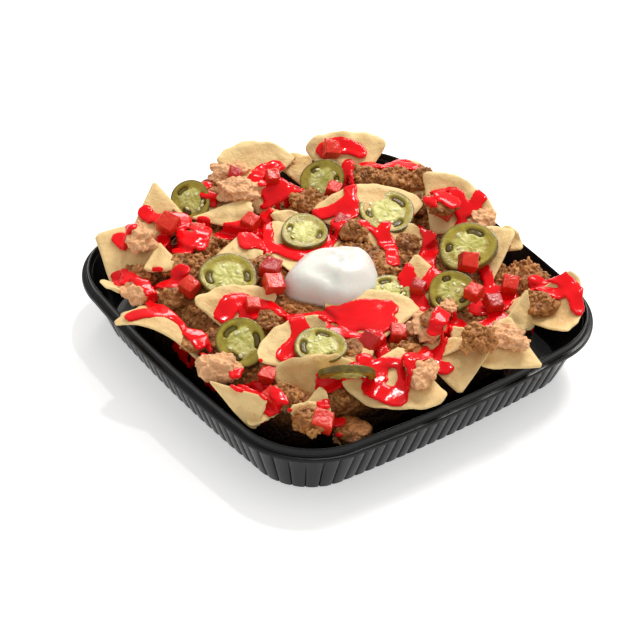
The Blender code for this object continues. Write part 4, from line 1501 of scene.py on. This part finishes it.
def heap_core(settings):
    """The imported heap, remeshed and drawn in a little, with a lumpy surface."""
    bm = bmesh.new()
    bm.from_mesh(frame["nodes"]["heap"].data)
    bmesh.ops.remove_doubles(bm, verts=bm.verts, dist=0.01 * MM)
    mesh = bpy.data.meshes.new("beef_core")
    bm.to_mesh(mesh)
    bm.free()
    core = link_object("beef_core", mesh)
    remesh = core.modifiers.new("even_faces", "REMESH")
    remesh.mode = "VOXEL"
    remesh.voxel_size = CORE_VOXEL
    core = bake_modifiers(core)
    normals = [vert.normal.copy() for vert in core.data.vertices]
    for vert, normal in zip(core.data.vertices, normals):
        vert.co += normal * (CORE_RELIEF * (lumpiness(vert.co, CORE_LUMP) - 0.3) - settings.shrink)
        low = min(1.0, max(0.0, (FLANK_TOP - vert.co.z) / FLANK_FALL))
        near = min(1.0, max(0.0, -(vert.co.y + FLANK_START) / FLANK_REACH))
        vert.co.y += FLANK_GAP * low * near
    return core


def add_pile(bm, surface, row, seed):
    """A low mound of beef lying where it was dropped."""
    (x, y), radius, height = row
    place, _ = landing(surface, x, y)
    known = len(bm.verts)
    bmesh.ops.create_icosphere(bm, subdivisions=4, radius=1.0)
    bm.verts.ensure_lookup_table()
    for vert in bm.verts[known:]:
        swell = 1 + 0.30 * noise.noise(vert.co * 1.5 + Vector((seed * 2.9, 0, 0)))
        vert.co = Vector((
            vert.co.x * radius * swell * MM,
            vert.co.y * radius * swell * MM,
            vert.co.z * height * 0.62 * swell * MM,
        ))
        vert.co += place + Vector((0, 0, height * 0.12 * MM))
        vert.co.z += 0.8 * MM * (lumpiness(vert.co, CORE_LUMP) - 0.3)


def mark_open(mesh, blockers):
    """Mark where crumbs would be seen, and how far each point is from other food."""
    directions = [Vector((0, 0, 1))]
    for rise in SKY_RISES:
        for turn in range(SKY_TURNS):
            angle = math.tau * turn / SKY_TURNS
            flat = math.cos(math.radians(rise))
            directions.append(Vector((
                flat * math.cos(angle), flat * math.sin(angle), math.sin(math.radians(rise))
            )))
    seen = []
    clear = []
    for vert in mesh.vertices:
        start = vert.co + vert.normal * SKY_START
        flank = vert.co.z < CRUMB_FLOOR or (vert.co.y < -FLANK_START and vert.co.z < FLANK_TOP - 2 * MM)
        free = not flank and any(
            direction.dot(vert.normal) > 0.05
            and blockers.ray_cast(start, direction, SKY_REACH)[0] is None
            for direction in directions
        )
        seen.append(1.0 if free else 0.0)
        clear.append(blockers.find_nearest(vert.co, 20 * MM)[3] or 20 * MM)
    write_attribute(mesh, "open", seen)
    write_attribute(mesh, "clear", clear)


def make_crumb_kinds(name, subdivisions):
    """A few knobbly crumbs about one unit long, kept out of the scene."""
    kinds = bpy.data.collections.new(name)
    for kind in range(CRUMB_KINDS):
        bm = bmesh.new()
        bmesh.ops.create_icosphere(bm, subdivisions=subdivisions, radius=1.0)
        shift = Vector((kind * 4.1, kind * 1.3, 0.7))
        for vert in bm.verts:
            swell = 0.32 + 0.30 * noise.noise(vert.co * 1.1 + shift)
            swell += 0.22 * lumpiness(vert.co + shift, 0.8) + 0.10 * noise.noise(vert.co * 3.1 + shift)
            vert.co *= swell
            vert.co.y *= 0.8
            vert.co.z *= 0.7
        mesh = mesh_from_bmesh(bm, f"{name}_{kind + 1}")
        kinds.objects.link(bpy.data.objects.new(f"{name}_{kind + 1}", mesh))
    return kinds


def crumb_tree():
    """Geometry Nodes: scatters crumbs over a surface where there is room for them."""
    tree = bpy.data.node_groups.new("Crumbs over a surface", "GeometryNodeTree")
    sockets = tree.interface
    sockets.new_socket("Geometry", in_out="INPUT", socket_type="NodeSocketGeometry")
    sockets.new_socket("Crumbs", in_out="INPUT", socket_type="NodeSocketCollection")
    for label in ("Spacing", "Density", "Smallest", "Largest", "Clearance"):
        sockets.new_socket(label, in_out="INPUT", socket_type="NodeSocketFloat")
    sockets.new_socket("Seed", in_out="INPUT", socket_type="NodeSocketInt")
    sockets.new_socket("Material", in_out="INPUT", socket_type="NodeSocketMaterial")
    sockets.new_socket("Geometry", in_out="OUTPUT", socket_type="NodeSocketGeometry")
    entry = add_node(tree, "NodeGroupInput").outputs
    seen = add_node(tree, "GeometryNodeInputNamedAttribute", {"Name": "open"}, data_type="FLOAT")
    points = add_node(tree, "GeometryNodeDistributePointsOnFaces", {
        "Mesh": entry["Geometry"],
        "Distance Min": entry["Spacing"],
        "Density Max": entry["Density"],
        "Density Factor": seen.outputs["Attribute"],
        "Seed": entry["Seed"],
    }, distribute_method="POISSON")
    clear = add_node(tree, "GeometryNodeInputNamedAttribute", {"Name": "clear"}, data_type="FLOAT")
    roomy = add_node(tree, "FunctionNodeCompare", data_type="FLOAT", operation="GREATER_THAN")
    tree.links.new(clear.outputs["Attribute"], roomy.inputs["A"])
    tree.links.new(entry["Clearance"], roomy.inputs["B"])
    turned = add_node(tree, "FunctionNodeRandomValue", data_type="FLOAT_VECTOR")
    turned.inputs[0].default_value = (0.0, 0.0, 0.0)
    turned.inputs[1].default_value = (math.tau, math.tau, math.tau)
    tree.links.new(entry["Seed"], turned.inputs["Seed"])
    sized = add_node(tree, "FunctionNodeRandomValue", data_type="FLOAT")
    tree.links.new(entry["Smallest"], sized.inputs[2])
    tree.links.new(entry["Largest"], sized.inputs[3])
    tree.links.new(entry["Seed"], sized.inputs["Seed"])
    crumbs = add_node(tree, "GeometryNodeCollectionInfo", {
        "Collection": entry["Crumbs"], "Separate Children": True, "Reset Children": True,
    })
    instances = add_node(tree, "GeometryNodeInstanceOnPoints", {
        "Points": points.outputs["Points"],
        "Selection": roomy.outputs["Result"],
        "Instance": crumbs.outputs["Instances"],
        "Pick Instance": True,
        "Rotation": turned.outputs["Value"],
        "Scale": sized.outputs[1],
    })
    shade = add_node(tree, "FunctionNodeRandomValue", data_type="FLOAT")
    tree.links.new(entry["Seed"], shade.inputs["Seed"])
    toned = add_node(tree, "GeometryNodeStoreNamedAttribute", {
        "Geometry": instances.outputs["Instances"], "Name": "tone", "Value": shade.outputs[1],
    }, data_type="FLOAT", domain="INSTANCE")
    real = add_node(tree, "GeometryNodeRealizeInstances", {"Geometry": toned.outputs["Geometry"]})
    dressed = add_node(tree, "GeometryNodeSetMaterial", {
        "Geometry": real.outputs["Geometry"], "Material": entry["Material"],
    })
    leave = add_node(tree, "NodeGroupOutput")
    tree.links.new(dressed.outputs["Geometry"], leave.inputs["Geometry"])
    return tree


class NACHOS_OT_beef(bpy.types.Operator):
    """Heap the beef between the chips and pile it on them"""

    bl_idname = "nachos.beef"
    bl_label = "Heap of beef"

    def execute(self, context):
        settings = context.scene.nachos.beef
        material = beef_material(settings)
        core = heap_core(settings)
        surface = food_surface()
        bm = bmesh.new()
        bm.from_mesh(core.data)
        for seed, row in enumerate(BEEF_PILES):
            add_pile(bm, surface, row, seed)
        core.data = mesh_from_bmesh(bm, "beef_core", recalculate=False)
        core.data.materials.append(material)
        write_attribute(core.data, "tone", [CORE_TONE] * len(core.data.vertices))
        core["food"] = True
        core["poured_on"] = True
        finish_piece(core, ["heap"])
        return {"FINISHED"}


class NACHOS_OT_crumbs(bpy.types.Operator):
    """Crumble more beef over the heap wherever nothing else lies"""

    bl_idname = "nachos.crumbs"
    bl_label = "Beef crumbs"

    def execute(self, context):
        settings = context.scene.nachos.beef
        core = bpy.data.objects["beef_core"]
        blockers = surface_of([piece for piece in food_pieces() if piece is not core])
        ground = core.data.copy()
        mark_open(ground, blockers)
        spacing = settings.crumb_spacing
        rows = [
            ("beef_clumps", 3, 2.2 * spacing, 6.0 * MM, 9.0 * MM, 2.4 * MM, 11),
            ("beef_crumbs", 2, 0.9 * spacing, 3.2 * MM, 6.0 * MM, 1.6 * MM, 12),
            ("beef_grains", 2, 0.75 * spacing, 1.6 * MM, 3.0 * MM, 1.0 * MM, 13),
        ]
        tree = crumb_tree()
        for name, subdivisions, gap, smallest, largest, clearance, seed in rows:
            scattered = link_object(name, ground.copy())
            modifier = scattered.modifiers.new("crumbs", "NODES")
            modifier.node_group = tree
            set_inputs(modifier, {
                "Crumbs": make_crumb_kinds(name + "_kind", subdivisions),
                "Spacing": gap,
                "Density": 1.5 / (gap * gap),
                "Smallest": smallest,
                "Largest": largest,
                "Clearance": clearance,
                "Seed": seed,
                "Material": core.data.materials[0],
            })
            scattered = bake_modifiers(scattered)
            scattered["food"] = True
            finish_piece(scattered)
        return {"FINISHED"}


# Sauce ------------------------------------------------------------------------

SAUCE_DROP_RADIUS = 1.9 * MM
SAUCE_VOXEL = 0.6 * MM
SAUCE_FACE_SHARE = 0.55
SAUCE_STEP = 1.6 * MM
SAUCE_FALL = 8.0 * MM
SAUCE_RAGGED = 12 * MM
SAUCE_FILL_ROUNDS = 5
SAUCE_EVEN_ROUNDS = 4
SAUCE_SETTLE_ROUNDS = 12
NEIGHBOURS = [(i, j) for i in (-1, 0, 1) for j in (-1, 0, 1) if i or j]


def smooth_route(points, step):
    """Evenly spaced points on a smooth curve through the given ones."""
    knots = [Vector(point) * MM for point in points]
    knots = [knots[0], *knots, knots[-1]]
    route = []
    for index in range(1, len(knots) - 2):
        before, first, second, after = knots[index - 1:index + 3]
        count = max(2, math.ceil((second - first).length / step))
        for number in range(count):
            t = number / count
            route.append(0.5 * (
                2 * first + (second - before) * t
                + (2 * before - 5 * first + 4 * second - after) * t * t
                + (3 * first - before - 3 * second + after) * t ** 3
            ))
    route.append(knots[-2])
    return route


def sauce_cells(settings):
    """The plan of the sauce: grid cells under a route, with an uneven edge."""
    step = settings.spacing
    cells = {}
    for number, (half_width, points) in enumerate(SAUCE):
        route = smooth_route(points, step)
        reach = half_width * MM * (1 + settings.wander)
        for spot in route:
            for column in range(math.floor((spot.x - reach) / step), math.ceil((spot.x + reach) / step) + 1):
                for row in range(math.floor((spot.y - reach) / step), math.ceil((spot.y + reach) / step) + 1):
                    point = Vector((column * step, row * step))
                    ragged = noise.noise(Vector((*point, number * SAUCE_RAGGED)) / SAUCE_RAGGED)
                    width = half_width * MM * (1 + settings.wander * ragged) - SAUCE_DROP_RADIUS * 0.6
                    if (point - spot).length < width:
                        cells[(column, row)] = point
    return cells


def ball_template():
    """The corners and faces of a small ball of twenty faces."""
    bm = bmesh.new()
    bmesh.ops.create_icosphere(bm, subdivisions=1, radius=1.0)
    corners = [vert.co.copy() for vert in bm.verts]
    faces = [[vert.index for vert in face.verts] for face in bm.faces]
    bm.free()
    return corners, faces


def sauce_drop(place, normal, radius, half_thickness):
    """Where a flat drop lies on a surface that faces along normal."""
    tilt = UP.rotation_difference(normal).to_matrix().to_4x4()
    shape = Matrix.Diagonal((radius, radius, half_thickness, 1.0))
    return Matrix.Translation(place + normal * half_thickness * 0.35) @ tilt @ shape


def evened(landed, fill):
    """The landed cells with heights drawn to their neighbours'; fill only raises them."""
    settled = {}
    for cell, (place, normal) in landed.items():
        height = place.z
        facing = normal.copy()
        count = 1
        for side in NEIGHBOURS:
            other = landed.get((cell[0] + side[0], cell[1] + side[1]))
            if other is None or abs(other[0].z - place.z) > SAUCE_STEP:
                continue
            height += other[0].z
            facing += other[1]
            count += 1
        level = max(place.z, height / count) if fill else height / count
        settled[cell] = (Vector((place.x, place.y, level)), facing.normalized())
    return settled


def sauce_drops(surface, settings):
    """Drops laid on whatever they fall on, and down the steps between them."""
    landed = {}
    for cell, point in sauce_cells(settings).items():
        place, normal = drop(surface, point.x, point.y)
        if place is not None:
            landed[cell] = (place, normal)
    for number in range(SAUCE_FILL_ROUNDS + SAUCE_EVEN_ROUNDS):
        landed = evened(landed, number < SAUCE_FILL_ROUNDS)
    drops = []
    for cell, (place, normal) in landed.items():
        drops.append(sauce_drop(place, normal, SAUCE_DROP_RADIUS, settings.thickness))
        for side in ((1, 0), (0, 1)):
            beside, slope = landed.get((cell[0] + side[0], cell[1] + side[1]), (None, None))
            if beside is None or not SAUCE_STEP < abs(beside.z - place.z) < SAUCE_FALL:
                continue
            steps = math.ceil(abs(beside.z - place.z) / SAUCE_STEP)
            for number in range(1, steps):
                between = place.lerp(beside, number / steps)
                drops.append(sauce_drop(between, (normal + slope).normalized(), 1.5 * MM, 1.1 * MM))
    return drops


def make_sauce(surface, settings):
    corners, faces = ball_template()
    points = []
    polygons = []
    for matrix in sauce_drops(surface, settings):
        start = len(points)
        points.extend(matrix @ corner for corner in corners)
        polygons.extend([start + index for index in face] for face in faces)
    mesh = bpy.data.meshes.new("sauce")
    mesh.from_pydata(points, [], polygons)
    return mesh


class NACHOS_OT_sauce(bpy.types.Operator):
    """Pour the red sauce over everything"""

    bl_idname = "nachos.sauce"
    bl_label = "Red sauce"

    def execute(self, context):
        settings = context.scene.nachos.sauce
        surface = surface_of([piece for piece in food_pieces() if piece.get("poured_on")])
        sauce = link_object("red_sauce_poured", make_sauce(surface, settings), sauce_material(settings))
        melt = sauce.modifiers.new("melt", "REMESH")
        melt.mode = "VOXEL"
        melt.voxel_size = SAUCE_VOXEL
        settle = sauce.modifiers.new("settle", "SMOOTH")
        settle.factor = 0.5
        settle.iterations = SAUCE_SETTLE_ROUNDS
        thin = sauce.modifiers.new("thin_out", "DECIMATE")
        thin.ratio = SAUCE_FACE_SHARE
        sauce = bake_modifiers(sauce)
        sauce.data.shade_smooth()
        sauce["food"] = True
        finish_piece(sauce)
        return {"FINISHED"}


# Stage ------------------------------------------------------------------------

CAMERA_AZIMUTH = math.radians(-38.65)
CAMERA_ELEVATION = math.radians(37.26)
CAMERA_ROLL = math.radians(3.07)
CAMERA_LENS = 128.24
CAMERA_TARGET_HEIGHT = 20 * MM
CAMERA_ASIDE = (-0.00655, -0.00425)
SENSOR_WIDTH = 36.0
FLOOR_GLOW = 0.4


def camera_matrix(distance):
    """Looks down at the tray from its front corner, turned a little about the view."""
    back = Vector((
        math.sin(CAMERA_AZIMUTH) * math.cos(CAMERA_ELEVATION),
        -math.cos(CAMERA_AZIMUTH) * math.cos(CAMERA_ELEVATION),
        math.sin(CAMERA_ELEVATION),
    ))
    level = Vector((math.cos(CAMERA_AZIMUTH), math.sin(CAMERA_AZIMUTH), 0.0))
    upright = back.cross(level)
    right = level * math.cos(CAMERA_ROLL) + upright * math.sin(CAMERA_ROLL)
    up = upright * math.cos(CAMERA_ROLL) - level * math.sin(CAMERA_ROLL)
    place = back * distance + Vector((0, 0, CAMERA_TARGET_HEIGHT))
    aim = (-back + right * CAMERA_ASIDE[0] + up * CAMERA_ASIDE[1]).normalized()
    right = aim.cross(up).normalized()
    up = right.cross(aim)
    turn = Matrix((right, up, -aim)).transposed().to_4x4()
    return Matrix.Translation(place) @ turn


def add_area_light(name, place, target, side, energy, colour):
    data = bpy.data.lights.new(name, "AREA")
    data.size = side
    data.energy = energy
    data.color = colour
    light = bpy.data.objects.new(name, data)
    bpy.context.scene.collection.objects.link(light)
    light.location = place
    light.rotation_euler = (Vector(target) - Vector(place)).to_track_quat("-Z", "Y").to_euler()
    return light


class NACHOS_OT_stage(bpy.types.Operator):
    """Set the pale floor, the soft studio light and the camera"""

    bl_idname = "nachos.stage"
    bl_label = "Stage"

    def execute(self, context):
        settings = context.scene.nachos.stage
        scene = context.scene
        bm = bmesh.new()
        bmesh.ops.create_grid(bm, x_segments=4, y_segments=4, size=settings.floor_side / 2)
        material, tree, shader = new_material(
            "pale_floor", Roughness=0.7, Specular_IOR_Level=0.2,
            Emission_Color=(1, 1, 1, 1), Emission_Strength=FLOOR_GLOW,
        )
        faint, _ = patches(tree, object_coordinates(tree), 3.0, 0.3, 0.7)
        shade = [0.985 * value for value in settings.floor]
        connect(tree, shader, mix_colours(tree, faint, settings.floor, shade))
        floor = link_object("floor", mesh_from_bmesh(bm, "floor", smooth=False), material)

        world = bpy.data.worlds.new("studio")
        scene.world = world
        world.use_nodes = True
        world.node_tree.nodes["Background"].inputs["Color"].default_value = (1.0, 0.99, 0.975, 1.0)
        world.node_tree.nodes["Background"].inputs["Strength"].default_value = 0.70
        add_area_light("key", (1.0, 0.35, 1.25), (0, 0, 0.03), 0.5, 16.0, (1.0, 0.97, 0.93))
        add_area_light("back", (0.85, 1.05, 0.75), (0, 0, 0.03), 0.35, 5.0, (1.0, 0.98, 0.95))
        add_area_light("sparkle", (0.45, 0.45, 1.4), (0, 0, 0.03), 0.07, 4.0, (1.0, 0.98, 0.95))

        data = bpy.data.cameras.new("camera")
        data.lens = CAMERA_LENS
        data.sensor_width = SENSOR_WIDTH
        data.clip_start = 0.05
        data.clip_end = 20.0
        camera = bpy.data.objects.new("camera", data)
        scene.collection.objects.link(camera)
        camera.matrix_world = camera_matrix(settings.distance)
        scene.camera = camera
        scene.view_settings.view_transform = "Standard"
        return {"FINISHED"}


# Add-on -----------------------------------------------------------------------

OPERATORS = (
    NACHOS_OT_tray,
    NACHOS_OT_chips,
    NACHOS_OT_cream,
    NACHOS_OT_peppers,
    NACHOS_OT_beans,
    NACHOS_OT_tomatoes,
    NACHOS_OT_beef,
    NACHOS_OT_sauce,
    NACHOS_OT_crumbs,
    NACHOS_OT_stage,
)


class NACHOS_PT_panel(bpy.types.Panel):
    """Lists the operators that make the tray of nachos"""

    bl_idname = "NACHOS_PT_panel"
    bl_label = "Loaded nachos"
    bl_space_type = "VIEW_3D"
    bl_region_type = "UI"
    bl_category = "Nachos"

    def draw(self, context):
        for operator in OPERATORS:
            self.layout.operator(operator.bl_idname)


CLASSES = (
    NACHOS_TraySettings,
    NACHOS_ChipSettings,
    NACHOS_BeefSettings,
    NACHOS_ToppingSettings,
    NACHOS_SauceSettings,
    NACHOS_StageSettings,
    NACHOS_Settings,
    *OPERATORS,
    NACHOS_PT_panel,
)


def register():
    for item in CLASSES:
        bpy.utils.register_class(item)
    bpy.types.Scene.nachos = bpy.props.PointerProperty(type=NACHOS_Settings)


def unregister():
    del bpy.types.Scene.nachos
    for item in reversed(CLASSES):
        bpy.utils.unregister_class(item)


def main():
    register()
    bpy.ops.nachos.tray()
    bpy.ops.nachos.chips()
    bpy.ops.nachos.cream()
    bpy.ops.nachos.peppers()
    bpy.ops.nachos.beans()
    bpy.ops.nachos.tomatoes()
    bpy.ops.nachos.beef()
    bpy.ops.nachos.sauce()
    bpy.ops.nachos.crumbs()
    bpy.ops.nachos.stage()


if __name__ == "__main__":
    main()
